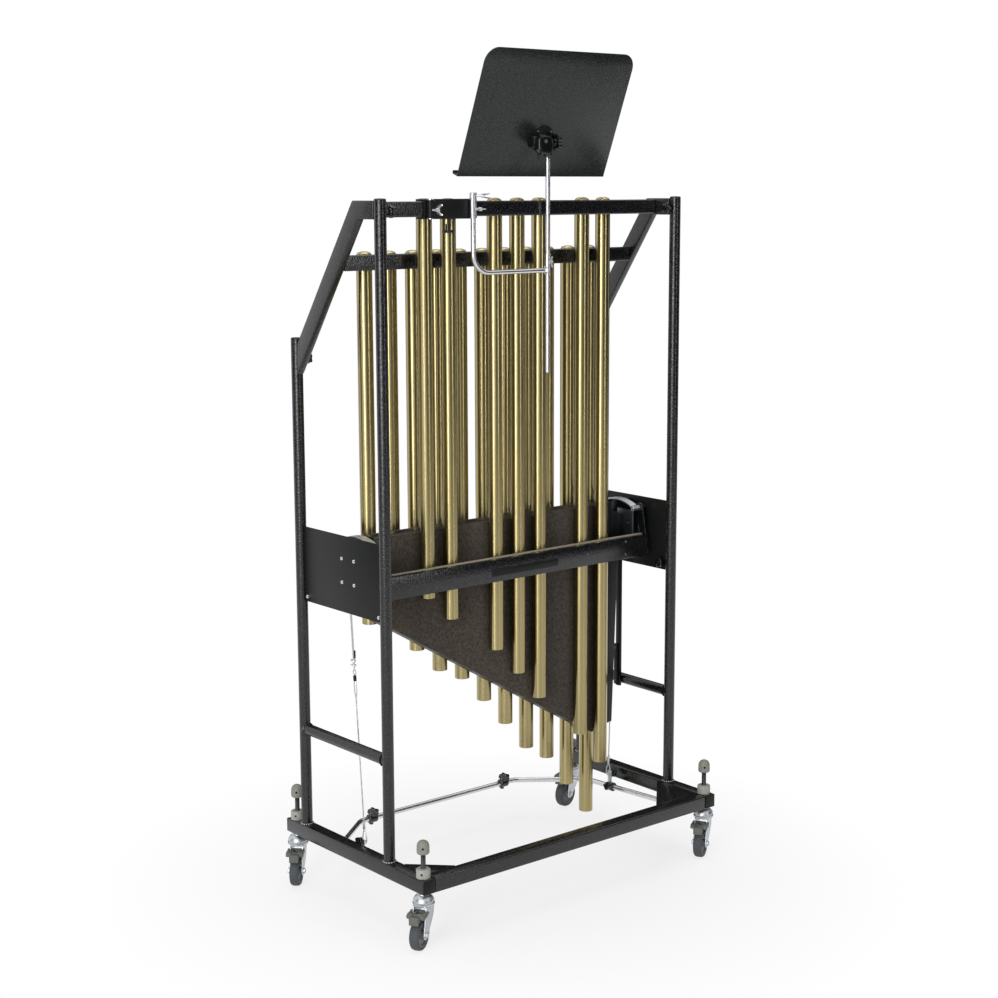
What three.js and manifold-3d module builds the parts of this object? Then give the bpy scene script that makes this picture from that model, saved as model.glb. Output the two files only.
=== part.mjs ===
// Tubular bells on a rolling frame: eighteen brass tubes in two rows, a felt damper worked by a foot bar
// through two cables, and a music desk on a swinging arm. Millimetres, +Z up. The player stands at +Y,
// the audience at -Y, and the long tubes hang at +X.
import * as THREE from 'three';
import { mergeVertices } from 'three/addons/utils/BufferGeometryUtils.js';
import Module from 'manifold-3d';

const wasm = await Module();
wasm.setup();

// Gaps and cutting
const fit = 0.3; // gap between two pieces that touch
const overrun = 4; // how far a cutter runs past what it cuts
const weldTolerance = 0.0001; // vertices closer than this are one
const roundSides = 12;
const barSides = 10;
const pinSides = 6;
const eyeSides = { wire: 5, ring: 10 };
const knobSteps = 3; // outline points to each lobe of a knob

// Base frame of square tube: two side rails and a front rail
const baseLength = 970;
const baseDepth = 576;
const railSize = 36;
const railWall = 2;
const casterHeight = 131; // floor to underside of the rails
const baseTop = casterHeight + railSize;
const gussetLeg = { left: 85, right: 145 };
const gussetThickness = 4;

// Round uprights and their crossbars, heights above the rails
const uprightDiameter = 28;
const uprightWall = 2;
const frontUprightY = 157;
const rearUprightY = 508;
const frontUprightHeight = 1560;
const rearUprightHeight = 1228;
const crossbarHeight = 249;
const uprightFloor = 6; // solid metal left at the foot of each upright

// Side plates between the uprights
const plateThickness = 3;
const plateHeight = 187;
const plateRise = 579; // underside above the rails
const plateScrewDiameter = 10;
const plateScrewHead = 3;
const plateScrewInset = 12;
const bearingScrewSpacing = { y: 50, z: 58 };

// Sloping arms of flat tube that carry the two beams
const armWidth = 20;
const armDepth = 42;
const armWall = 2;
const armTop = 1555;
const armCornerY = 254;
const armEndRise = 1212; // height of the arm's upper edge where it meets the rear upright

// Beams of box tube
const beamHeight = 36;
const beamDepth = 28;
const beamWall = 2;
const upperBeamY = 218;
const upperBeamTop = 1552;
const lowerBeamY = 312;
const lowerBeamTop = 1428;

// Tubes, hung on pins behind the beams
const tubeDiameter = 38;
const tubeWall = 1.5;
const tubePitch = 72;
const tubeRowX = -8; // middle of the rows, a little towards the short tubes
const tubeStandoff = 2; // beam to tube
const tubeProud = 7; // tube top above beam top
const tubePlugDepth = 12;
const tubePlugRound = 3;
const longestTube = 1546;
const semitoneShare = 0.969;
const hangPinDiameter = 6;
const hangPinDrop = 24; // below the tube's top
const hangPinReach = 8; // past the tube's wall

// Damper board and its felt-lined bars. A rise is a height above the rails, a lift is one above the
// underside of the side plates, which carry the bars and their gear.
const boardLeftX = -400;
const boardLeftFoot = 554;
const boardTop = 757;
const boardLowX = 305;
const boardLowFoot = 137.5;
const boardTailX = 345;
const boardTailFoot = 148;
const boardRightX = 380;
const boardTaper = { narrower: 3, rise: 600 }; // the right edge draws in below this rise
const boardTab = { from: 76, to: 141, y: 22 }; // lifts, and half the width
const barHalfLength = 441;
const barHeight = 56;
const barDepth = 16;
const barWall = 3;
const barLift = { front: 37, rear: 85 };
const feltProud = 12.5; // felt standing out of the channel
const hangerThickness = 4.5;
const hangerWidth = 24;
const jawPivotLift = 162;
const jawPivotY = { front: 252, rear: 384 };
const jawPinDiameter = 8;
const jawPinReach = 17.5;

// Yoke: bearing block, arch over the board's end and hanging plate
const yokeBlockDepth = 9;
const yokeBlockY = { from: 268, to: 344 };
const yokeBlockLift = { from: 21, to: 161 };
const yokeX = { from: 415, to: 438 };
const archRise = 18;
const archThickness = 4;
const archSteps = 8;
const webY = { from: 308, to: 328 };
const webFootLift = 137;
const hangPlateThickness = 4;
const hangPlateY = { from: 250, to: 312 };
const hangPlateLift = { from: 61, to: 157 };

// Stay on the long tubes' side, from the bearing block down to the crossbar
const stayX = { from: 445, to: 454 };
const stayY = { from: 329, to: 344 };
const stayDrop = 17; // foot below the crossbar's centre line
const stayTopLift = 61;
const stayPad = 36;
const stayGuide = { x: 4, from: 333, to: 347, drop: 13, height: 114 };

// Rockers that the cables pull
const rockerPivotY = 306;
const rockerPivotLift = 102;
const rockerRadius = 42;
const rockerRestAngle = 21.2;
const rockerThickness = 5;
const rockerHub = 26;
const rockerArmWidth = 14;
const rockerPinDiameter = 10;
const rockerPinGap = 5; // block to rocker
const rockerKeeper = 4; // pin left standing inside the rocker

// Pedal: one bent rod on two pins
const pedalDiameter = 14;
const pedalX = 424;
const pedalPivotY = 97;
const pedalPivotDrop = 41; // below the top of the rails
const pedalKneeY = 436;
const pedalBarY = 565;
const pedalBarX = 262;
const pedalBarDrop = 58;
const pedalBend = 34;
const pedalBendSteps = 2;
const pedalBossDiameter = 24;
const pedalBossLength = 24;
const pedalPinDiameter = 10;
const pedalPinHead = { diameter: 16, length: 4 };
const pedalBracket = { x: 8, y: 28, below: 12 };

// Cables, each with an eye at either end, and the lug on the pedal that holds the lower one
const cableX = { upper: 436, lower: 412 };
const cableDiameter = 4;
const cableEye = 11; // inside radius
const cableEyeSlack = 0.6;
const cablePinDiameter = 5;
const lugY = 335;
const lugPinRise = 40; // above the rod's centre line
const lugThickness = 4;
const lugWidth = 14;
const lugCollar = { diameter: 24, length: 16 };

// Levelling spindles, lock collars and casters
const casterInset = 24; // caster axis from the end of its rail
const spindleDiameter = 12;
const spindleCap = { diameter: 30, height: 36, rise: 58, round: 6 };
const collar = { diameter: 34, height: 22, chamfer: 3 };
const tommyHole = 6;
const trailAngle = { front_left: -60, front_right: -60, rear_left: -45, rear_right: -75 };
const wheelRadius = 37.5;
const wheelWidth = 24;
const wheelTread = 14;
const wheelSides = 14;
const wheelRim = 28;
const wheelHub = 17;
const wheelRecess = 4;
const axleDiameter = 8;
const axleNut = { diameter: 14, length: 4 };
const trail = 28;
const forkPlate = 3;
const forkGap = 2.5; // wheel to fork
const forkCrownRise = 101;
const forkHalfDepth = 22;
const forkEnd = 11;
const domeRadius = 26;
const domeNeck = 13;
const domeSkirt = 6;
const brakePinDiameter = 5;
const brakeHub = 11;
const brakePivotY = -12;
const brakePivotRise = 86;
const brakeTab = { reach: 62, halfWidth: 17, from: 82, to: 90, neck: 28 };
const brakeWindow = { from: 52, to: 40, halfWidth: 7 };
const brakeShoe = { from: 58, to: 46, foot: 71.5, halfWidth: 9 };

// Music desk: saddle on the upper beam, bent arm, mast, tilting head and desk
const saddleX = { from: -300, to: -145 };
const saddleWall = 5;
const saddleSocket = 18;
const saddleScrewX = -215;
const saddleScrew = { diameter: 6, length: 12, boss: 12, bossLength: 18, wing: 32, wingHeight: 7 };
const armTubeDiameter = 12;
const deskArmX = -159;
const deskArmTop = 1572;
const deskArmDrop = 1382;
const deskArmBend = 46;
const deskArmSteps = 5;
const deskMastX = 76;
const deskSleeve = { diameter: 16, from: 1373, to: 1422 };
const mastDiameter = 12;
const mastFoot = 1129;
const mastTop = 1658;
const headBlock = { diameter: 24, from: 1640, to: 1664, width: 16 };
const headPivotRise = 1692;
const headPinDiameter = 6;
const knobDiameter = 38;
const knobHeight = 14;
const knobLobes = 5;
const knobLobeShare = 0.12;
const deskWidth = 475;
const deskHeight = 318;
const deskSheet = 2.5;
const deskCorner = 38;
const deskCornerSteps = 6;
const deskLedge = 28;
const deskLip = 8;
const deskFold = 3; // slope inside the fold between sheet and ledge
const deskLean = 21.8;
const deskPivotUp = 97.6; // head pivot above the desk's lower edge, along the desk
const deskSetback = 22; // head pivot to the desk's back
const deskLugThickness = 5;
const deskLugHalfHeight = 10;

// Clamping knobs on the uprights
const frameKnobRise = { front: 1530, rear: 1176 };
const frameKnobDiameter = 30;
const frameKnobShank = { diameter: 8, length: 10 };

const halfLength = baseLength / 2;
const frameX = halfLength - railSize / 2; // centre line of a side frame
const railInner = halfLength - railSize;
const plateInner = frameX - plateThickness / 2;
const tubeRadius = tubeDiameter / 2;
const uprightRadius = uprightDiameter / 2;
const degrees = Math.PI / 180;
const plateFoot = baseTop + plateRise;
const rockerPivotZ = plateFoot + rockerPivotLift;
const jawPivotZ = plateFoot + jawPivotLift;

const colours = {
  frame: { color: 0x2a2c30, roughness: 0.45, metalness: 0.3 },
  plate: { color: 0x1c1d1f, roughness: 0.6, metalness: 0.2 },
  brass: { color: 0xb59a55, roughness: 0.22, metalness: 0.95 },
  chrome: { color: 0xc9ccd2, roughness: 0.12, metalness: 1 },
  zinc: { color: 0x9aa3ab, roughness: 0.35, metalness: 0.9 },
  felt: { color: 0x4d4238, roughness: 0.98, metalness: 0 },
  rubber: { color: 0x4a4d50, roughness: 0.7, metalness: 0 },
  plastic: { color: 0x85867f, roughness: 0.55, metalness: 0 },
  desk: { color: 0x2c302f, roughness: 0.75, metalness: 0.2 },
};

// Solids and their joins

function solidOf(geometry) {
  const bare = geometry.clone();
  bare.deleteAttribute('normal');
  bare.deleteAttribute('uv');
  const merged = mergeVertices(bare, weldTolerance);
  return new wasm.Manifold(new wasm.Mesh({
    numProp: 3,
    vertProperties: merged.attributes.position.array,
    triVerts: new Uint32Array(merged.index.array),
  }));
}

function geometryOf(solid) {
  const mesh = solid.getMesh();
  const geometry = new THREE.BufferGeometry();
  geometry.setAttribute('position', new THREE.BufferAttribute(new Float32Array(mesh.vertProperties), 3));
  geometry.setIndex(new THREE.BufferAttribute(new Uint32Array(mesh.triVerts), 1));
  geometry.computeVertexNormals();
  return geometry;
}

function join(first, ...others) {
  return others.reduce((body, other) => body.add(other), first);
}

function cut(body, ...cutters) {
  return cutters.reduce((rest, cutter) => rest.subtract(cutter), body);
}

function mirrored(geometry) {
  const copy = geometry.clone();
  copy.scale(-1, 1, 1);
  const index = copy.index.array;
  for (let corner = 0; corner < index.length; corner += 3) {
    [index[corner], index[corner + 1]] = [index[corner + 1], index[corner]];
  }
  copy.computeVertexNormals();
  return copy;
}

// Primitive shapes

function block(x, y, z) {
  const geometry = new THREE.BoxGeometry(x[1] - x[0], y[1] - y[0], z[1] - z[0]);
  geometry.translate((x[0] + x[1]) / 2, (y[0] + y[1]) / 2, (z[0] + z[1]) / 2);
  return solidOf(geometry);
}

function rod(axis, radius, from, to, centre, sides = barSides) {
  const geometry = new THREE.CylinderGeometry(radius, radius, to - from, sides);
  geometry.rotateY(Math.PI / sides);
  const middle = (from + to) / 2;
  if (axis === 'x') {
    geometry.rotateZ(-Math.PI / 2);
    geometry.translate(middle, centre[0], centre[1]);
  } else if (axis === 'y') {
    geometry.translate(centre[0], middle, centre[1]);
  } else {
    geometry.rotateX(Math.PI / 2);
    geometry.translate(centre[0], centre[1], middle);
  }
  return solidOf(geometry);
}

// The cutter for a round hole that a rod of this diameter runs in: its flats clear the rod
function bore(axis, diameter, from, to, centre, sides = barSides) {
  const radius = (diameter / 2 + fit) / Math.cos(Math.PI / sides);
  return rod(axis, radius, from, to, centre, sides);
}

function extruded(outline, depth) {
  const shape = new THREE.Shape(outline.map(([u, v]) => new THREE.Vector2(u, v)));
  return new THREE.ExtrudeGeometry(shape, { depth, bevelEnabled: false });
}

// An outline in y and z, drawn out along x
function prismX(outline, from, to) {
  const geometry = extruded(outline, to - from);
  const turn = new THREE.Matrix4().makeBasis(
    new THREE.Vector3(0, 1, 0), new THREE.Vector3(0, 0, 1), new THREE.Vector3(1, 0, 0));
  geometry.applyMatrix4(turn);
  geometry.translate(from, 0, 0);
  return solidOf(geometry);
}

// An outline in x and z, drawn out along y
function prismY(outline, from, to) {
  const geometry = extruded(outline, to - from);
  const turn = new THREE.Matrix4().makeBasis(
    new THREE.Vector3(1, 0, 0), new THREE.Vector3(0, 0, 1), new THREE.Vector3(0, -1, 0));
  geometry.applyMatrix4(turn);
  geometry.translate(0, to, 0);
  return solidOf(geometry);
}

// An outline in x and y, drawn out along z
function prismZ(outline, from, to) {
  const geometry = extruded(outline, to - from);
  geometry.translate(0, 0, from);
  return solidOf(geometry);
}

// A profile of radius and height, turned about z
function turned(profile, sides = roundSides) {
  const geometry = new THREE.LatheGeometry(profile.map(([r, h]) => new THREE.Vector2(r, h)), sides);
  geometry.rotateX(Math.PI / 2);
  return solidOf(geometry);
}

// A route that is sampled exactly at its own points
class SampledRoute extends THREE.Curve {
  constructor(points) {
    super();
    this.points = points;
  }

  getPoint(t, target = new THREE.Vector3()) {
    const place = t * (this.points.length - 1);
    const start = Math.min(Math.floor(place), this.points.length - 2);
    return target.lerpVectors(this.points[start], this.points[start + 1], place - start);
  }

  getUtoTmapping(u) {
    return u;
  }
}

// Straight runs between corners, each corner rounded by a short curve
function roundedRoute(corners, bend, steps) {
  const points = [corners[0].clone()];
  for (let place = 1; place < corners.length - 1; place += 1) {
    const corner = corners[place];
    const entry = corner.clone().add(corners[place - 1].clone().sub(corner).setLength(bend));
    const leaving = corner.clone().add(corners[place + 1].clone().sub(corner).setLength(bend));
    const curve = new THREE.QuadraticBezierCurve3(entry, corner, leaving);
    points.push(...curve.getPoints(steps));
  }
  points.push(corners[corners.length - 1].clone());
  return points;
}

function bentRod(points, radius, sides = barSides) {
  const section = new THREE.Shape();
  for (let side = 0; side < sides; side += 1) {
    const angle = (2 * Math.PI * side) / sides;
    const place = [radius * Math.cos(angle), radius * Math.sin(angle)];
    if (side === 0) section.moveTo(...place);
    else section.lineTo(...place);
  }
  return solidOf(new THREE.ExtrudeGeometry(section, {
    steps: points.length - 1,
    extrudePath: new SampledRoute(points),
    bevelEnabled: false,
  }));
}

// A lobed hand knob about the z axis, its foot at z = 0
function starKnob(diameter, height) {
  const outline = [];
  const steps = knobLobes * knobSteps;
  for (let step = 0; step < steps; step += 1) {
    const angle = (2 * Math.PI * step) / steps;
    const radius = (diameter / 2) * (1 - knobLobeShare + knobLobeShare * Math.cos(knobLobes * angle));
    outline.push([radius * Math.cos(angle), radius * Math.sin(angle)]);
  }
  return extruded(outline, height);
}

// The scene graph

const bells = new THREE.Group();

function place(name, solid, look, parent = bells) {
  const geometry = solid.isBufferGeometry ? solid : geometryOf(solid);
  const mesh = new THREE.Mesh(geometry, new THREE.MeshStandardMaterial(colours[look]));
  mesh.name = name;
  parent.add(mesh);
  return mesh;
}

function placePair(name, solid, look) {
  const geometry = geometryOf(solid);
  place(`${name}_right`, geometry, look);
  place(`${name}_left`, mirrored(geometry), look);
}

// Welded side frame: rail, two uprights, crossbar, lock collars, pedal pin on its bracket, clamping knobs
function sideFrame() {
  const x = [railInner, halfLength];
  const casterYs = [casterInset, baseDepth - casterInset];
  const crossZ = baseTop + crossbarHeight;
  const inner = uprightRadius - uprightWall;
  const boreFoot = baseTop + uprightFloor;
  let body = block(x, [0, baseDepth], [casterHeight, baseTop]);
  body = join(body,
    rod('z', uprightRadius, baseTop - railWall, baseTop + frontUprightHeight,
      [frameX, frontUprightY], roundSides),
    rod('z', uprightRadius, baseTop - railWall, baseTop + rearUprightHeight,
      [frameX, rearUprightY], roundSides),
    rod('y', uprightRadius, frontUprightY, rearUprightY, [frameX, crossZ], roundSides));
  body = cut(body,
    block([x[0] + railWall, x[1] - railWall], [-overrun, baseDepth + overrun],
      [casterHeight + railWall, baseTop - railWall]),
    rod('z', inner, boreFoot, baseTop + frontUprightHeight + overrun, [frameX, frontUprightY], barSides),
    rod('z', inner, boreFoot, baseTop + rearUprightHeight + overrun, [frameX, rearUprightY], barSides),
    rod('y', inner, frontUprightY, rearUprightY, [frameX, crossZ], barSides));
  for (const y of casterYs) {
    const radius = collar.diameter / 2;
    const lockCollar = turned([
      [0, 0], [radius, 0], [radius, collar.height - collar.chamfer],
      [radius - collar.chamfer, collar.height], [0, collar.height],
    ], barSides).translate([frameX, y, baseTop]);
    body = join(body, lockCollar);
    const holeZ = baseTop + collar.height / 2;
    body = cut(body,
      bore('z', spindleDiameter, casterHeight - overrun, baseTop + collar.height + overrun, [frameX, y]),
      rod('x', tommyHole / 2, frameX - radius - overrun, frameX + radius + overrun, [y, holeZ], pinSides));
  }
  const pivot = [pedalPivotY, baseTop - pedalPivotDrop];
  const bossOuter = pedalX + pedalBossLength / 2;
  const bossInner = pedalX - pedalBossLength / 2;
  body = join(body,
    rod('x', pedalPinHead.diameter / 2, bossOuter + fit, railInner + railWall, pivot),
    rod('x', pedalPinDiameter / 2, bossInner - fit - pedalPinHead.length, railInner + railWall, pivot),
    rod('x', pedalPinHead.diameter / 2, bossInner - fit - pedalPinHead.length, bossInner - fit, pivot),
    block([railInner, railInner + pedalBracket.x],
      [pivot[0] - pedalBracket.y / 2, pivot[0] + pedalBracket.y / 2],
      [pivot[1] - pedalBracket.below, casterHeight + railWall]));
  const shankEnd = frameX - uprightRadius - frameKnobShank.length;
  for (const [y, rise] of [[frontUprightY, frameKnobRise.front], [rearUprightY, frameKnobRise.rear]]) {
    const knob = starKnob(frameKnobDiameter, knobHeight);
    knob.rotateY(-Math.PI / 2);
    knob.translate(shankEnd, y, baseTop + rise);
    body = join(body, solidOf(knob),
      rod('x', frameKnobShank.diameter / 2, shankEnd - fit, frameX - uprightRadius + uprightWall / 2,
        [y, baseTop + rise], pinSides));
  }
  return body;
}

// Stay with its pad against the bearing block and its guide beside the cable
function stay() {
  const y = [stayY.from, stayY.to];
  const crossZ = baseTop + crossbarHeight;
  const top = plateFoot + stayTopLift;
  const guideFoot = crossZ - stayGuide.drop;
  const blockFace = plateInner - fit - yokeBlockDepth;
  return join(
    block([stayX.from, stayX.to], y, [crossZ - stayDrop, top]),
    block([stayX.from, blockFace - fit], y, [top - stayPad, top]),
    block([stayX.from - stayGuide.x, stayX.to - stayGuide.x], [stayGuide.from, stayGuide.to],
      [guideFoot, guideFoot + stayGuide.height]));
}

const plainFrame = sideFrame();
place('side_frame_right', join(plainFrame, stay()), 'frame');
place('side_frame_left', mirrored(geometryOf(plainFrame)), 'frame');

// Front rail with a gusset at either end
function frontRail() {
  const end = railInner - fit;
  const rail = cut(
    block([-end, end], [0, railSize], [casterHeight, baseTop]),
    block([-end - overrun, end + overrun], [railWall, railSize - railWall],
      [casterHeight + railWall, baseTop - railWall]));
  const gusset = (side, leg) => prismZ(
    side > 0
      ? [[end, railSize - railWall], [end, railSize + leg], [end - leg, railSize],
        [end - leg, railSize - railWall]]
      : [[-end, railSize + leg], [-end, railSize - railWall], [-end + leg, railSize - railWall],
        [-end + leg, railSize]],
    baseTop - gussetThickness, baseTop);
  return join(rail, gusset(1, gussetLeg.right), gusset(-1, gussetLeg.left));
}
place('front_rail', frontRail(), 'frame');

// Side plate, with the heads of its corner screws and of the bearing's four screws
function sidePlate() {
  const y = [frontUprightY + uprightRadius + fit, rearUprightY - uprightRadius - fit];
  const z = [plateFoot, plateFoot + plateHeight];
  const outer = frameX + plateThickness / 2;
  let body = block([plateInner, outer], y, z);
  const screwZ = z[0] + plateScrewInset;
  const heads = [[y[0] + plateScrewInset, screwZ], [y[1] - plateScrewInset, screwZ]];
  for (const sideY of [-1, 1]) {
    for (const sideZ of [-1, 1]) {
      heads.push([
        rockerPivotY + (sideY * bearingScrewSpacing.y) / 2,
        rockerPivotZ + (sideZ * bearingScrewSpacing.z) / 2,
      ]);
    }
  }
  for (const head of heads) {
    body = join(body, rod('x', plateScrewDiameter / 2, outer - plateThickness / 2, outer + plateScrewHead,
      head, pinSides));
  }
  return body;
}
placePair('side_plate', sidePlate(), 'plate');

// Mitred arm from the front upright back and down to the rear upright
function slopeArm() {
  const frontY = frontUprightY + uprightRadius + fit;
  const endY = rearUprightY - uprightRadius - fit;
  const top = baseTop + armTop;
  const slope = (armEndRise - armTop) / (endY - armCornerY);
  const angle = Math.atan(-slope);
  const inset = armDepth * Math.tan(angle / 2);
  const endDrop = armDepth / Math.cos(angle);
  const outline = (wall) => {
    const shift = wall * Math.tan(angle / 2);
    const drop = wall / Math.cos(angle);
    const endTop = baseTop + armEndRise - drop;
    return [
      [frontY, top - armDepth + wall],
      [armCornerY - inset + shift, top - armDepth + wall],
      [endY, baseTop + armEndRise - endDrop + drop],
      [endY, endTop],
      [armCornerY - shift, top - wall],
      [frontY, top - wall],
    ];
  };
  const x = [frameX - armWidth / 2, frameX + armWidth / 2];
  const inside = outline(armWall);
  for (const open of [0, 5]) inside[open][0] -= overrun;
  for (const closed of [2, 3]) {
    inside[closed][0] -= armWall;
    inside[closed][1] -= armWall * slope;
  }
  return cut(prismX(outline(0), ...x), prismX(inside, x[0] + armWall, x[1] - armWall));
}
placePair('slope_arm', slopeArm(), 'frame');

// Beam with one hanging pin for each tube behind it
function beam(frontY, top, tubeXs) {
  const end = frameX - armWidth / 2 - fit;
  const y = [frontY, frontY + beamDepth];
  const z = [baseTop + top - beamHeight, baseTop + top];
  let body = cut(
    block([-end, end], y, z),
    block([-end - overrun, end + overrun], [y[0] + beamWall, y[1] - beamWall],
      [z[0] + beamWall, z[1] - beamWall]));
  const pinZ = baseTop + top + tubeProud - hangPinDrop;
  for (const x of tubeXs) {
    body = join(body, rod('y', hangPinDiameter / 2, y[1] - beamWall, y[1] + tubeStandoff + hangPinReach,
      [x, pinZ], pinSides));
  }
  return body;
}

// Tube with a rounded plug at its top, open below, and a hole that its hanging pin goes through
function tube(length) {
  const inner = tubeRadius - tubeWall;
  const body = turned([
    [0, 0], [tubeRadius - tubePlugRound, 0], [tubeRadius, -tubePlugRound], [tubeRadius, -length],
    [inner, -length], [inner, -tubePlugDepth], [0, -tubePlugDepth],
  ].reverse());
  return cut(body, bore('y', hangPinDiameter, -tubeRadius - overrun, 0, [0, -hangPinDrop], pinSides));
}

// The two rows: natural notes nearer the player, sharps in front of them and higher
const naturalNotes = [['c5', 0], ['d5', 2], ['e5', 4], ['f5', 5], ['g5', 7], ['a5', 9], ['b5', 11],
  ['c6', 12], ['d6', 14], ['e6', 16], ['f6', 17]];
const sharpNotes = [['c_sharp5', 1, 0], ['d_sharp5', 3, 1], ['f_sharp5', 6, 3], ['g_sharp5', 8, 4],
  ['a_sharp5', 10, 5], ['c_sharp6', 13, 7], ['d_sharp6', 15, 8]];
const firstX = tubeRowX + (tubePitch * (naturalNotes.length - 1)) / 2;
const naturalXs = naturalNotes.map((note, place) => firstX - place * tubePitch);
const sharpXs = sharpNotes.map(([, , place]) => firstX - (place + 1 / 2) * tubePitch);
const rowSetback = beamDepth + tubeStandoff + tubeRadius; // beam front to tube centre
const sharpY = upperBeamY + rowSetback;
const naturalY = lowerBeamY + rowSetback;

place('upper_beam', beam(upperBeamY, upperBeamTop, sharpXs), 'frame');
place('lower_beam', beam(lowerBeamY, lowerBeamTop, naturalXs), 'frame');

function hangRow(notes, xs, y, top) {
  notes.forEach(([name, semitones], order) => {
    const mesh = place(`tube_${name}`, tube(longestTube * semitoneShare ** semitones), 'brass');
    mesh.position.set(xs[order], y, baseTop + top + tubeProud);
  });
}
hangRow(naturalNotes, naturalXs, naturalY, lowerBeamTop);
hangRow(sharpNotes, sharpXs, sharpY, upperBeamTop);

// Felt-faced board between the rows, its foot following the tubes, with a tab to each yoke
function damperBoard() {
  const up = (rise) => baseTop + rise;
  const y = [sharpY + tubeRadius + fit, naturalY - tubeRadius - fit];
  const outline = [
    [boardLeftX, up(boardLeftFoot)], [boardLowX, up(boardLowFoot)], [boardTailX, up(boardTailFoot)],
    [boardRightX - boardTaper.narrower, up(boardTailFoot)], [boardRightX, up(boardTaper.rise)],
    [boardRightX, up(boardTop)], [boardLeftX, up(boardTop)],
  ];
  const middle = (y[0] + y[1]) / 2;
  const end = yokeX.from - fit;
  const tabY = [middle - boardTab.y, middle + boardTab.y];
  const tabZ = [plateFoot + boardTab.from, plateFoot + boardTab.to];
  return join(prismY(outline, ...y),
    block([boardRightX - overrun, end], tabY, tabZ),
    block([-end, boardLeftX + overrun], tabY, tabZ));
}
place('damper_board', damperBoard(), 'felt');

// Yoke on the side plate: bearing block, arch over the board's end, hanging plate and pins
function yoke() {
  const up = (lift) => plateFoot + lift;
  const outer = plateInner - fit;
  const span = (jawPivotY.rear - jawPivotY.front) / 2;
  const middle = (jawPivotY.rear + jawPivotY.front) / 2;
  const radius = (span * span + archRise * archRise) / (2 * archRise);
  const centreZ = jawPivotZ + archRise - radius;
  const sweep = Math.asin(span / radius);
  const arc = (r) => Array.from({ length: archSteps + 1 }, (unused, step) => {
    const angle = sweep * (1 - (2 * step) / archSteps);
    return [middle - r * Math.sin(angle), centreZ + r * Math.cos(angle)];
  });
  const strap = prismX(
    [...arc(radius + archThickness / 2), ...arc(radius - archThickness / 2).reverse()].reverse(),
    yokeX.from, yokeX.to);
  const blockX = [outer - yokeBlockDepth, outer];
  const archTop = jawPivotZ + archRise;
  const pinEnd = blockX[0] - rockerPinGap - rockerThickness - rockerKeeper;
  const hangerOuter = barHalfLength + hangerThickness;
  const pins = [jawPivotY.front, jawPivotY.rear].map((y) => rod('x', jawPinDiameter / 2,
    yokeX.from, hangerOuter + jawPinReach, [y, jawPivotZ], pinSides));
  const bosses = [jawPivotY.front, jawPivotY.rear].map((y) => rod('x', jawPinDiameter,
    yokeX.from, yokeX.to, [y, jawPivotZ]));
  return join(
    block(blockX, [yokeBlockY.from, yokeBlockY.to], [up(yokeBlockLift.from), up(yokeBlockLift.to)]),
    block([yokeX.from, outer], [webY.from, webY.to], [up(webFootLift), archTop]),
    block([yokeX.from, yokeX.from + hangPlateThickness], [hangPlateY.from, hangPlateY.to],
      [up(hangPlateLift.from), up(hangPlateLift.to)]),
    rod('x', rockerPinDiameter / 2, pinEnd, blockX[0] + yokeBlockDepth / 2,
      [rockerPivotY, rockerPivotZ]),
    strap, ...pins, ...bosses);
}
placePair('damper_yoke', yoke(), 'zinc');

// Damper bar: a channel that is open towards the tubes, on a hanger at either end
function damperBar(row) {
  const front = row === 'front';
  const facing = front ? 1 : -1;
  const tubeFace = front ? sharpY - tubeRadius : naturalY + tubeRadius;
  const mouth = tubeFace - facing * (fit + feltProud);
  const back = mouth - facing * barDepth;
  const z = [plateFoot + barLift[row], plateFoot + barLift[row] + barHeight];
  const along = (from, to) => (from < to ? [from, to] : [to, from]);
  const channel = cut(
    block([-barHalfLength, barHalfLength], along(back, mouth), z),
    block([-barHalfLength + barWall, barHalfLength - barWall],
      along(back + facing * barWall, mouth + facing * overrun), [z[0] + barWall, z[1] - barWall]));
  const pivot = [jawPivotY[row], jawPivotZ];
  const middleY = (back + mouth) / 2;
  const half = hangerWidth / 2;
  const hangerX = [barHalfLength - barWall, barHalfLength + hangerThickness];
  const upper = rod('x', half, barHalfLength, hangerX[1], pivot);
  const strip = prismX([
    [middleY - half, z[0] + barWall], [middleY + half, z[0] + barWall],
    [pivot[0] + half, pivot[1]], [pivot[0] - half, pivot[1]],
  ], barHalfLength, hangerX[1]);
  const foot = block(hangerX, along(back, mouth), z);
  const hole = bore('x', jawPinDiameter, barHalfLength - overrun, hangerX[1] + overrun, pivot, pinSides);
  const hanger = cut(join(upper, strip, foot), hole);
  const opposite = solidOf(mirrored(geometryOf(hanger)));
  return join(channel, hanger, opposite);
}

// Felt strip that fills the channel and stands out of it as far as the tubes
function damperFelt(row) {
  const front = row === 'front';
  const facing = front ? 1 : -1;
  const tubeFace = front ? sharpY - tubeRadius : naturalY + tubeRadius;
  const face = tubeFace - facing * fit;
  const root = face - facing * (feltProud + barDepth - barWall - fit);
  const end = barHalfLength - barWall - fit;
  const foot = plateFoot + barLift[row];
  const z = [foot + barWall + fit, foot + barHeight - barWall - fit];
  return block([-end, end], front ? [root, face] : [face, root], z);
}
for (const row of ['front', 'rear']) {
  place(`damper_bar_${row}`, damperBar(row), 'frame');
  place(`damper_felt_${row}`, damperFelt(row), 'felt');
}

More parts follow.
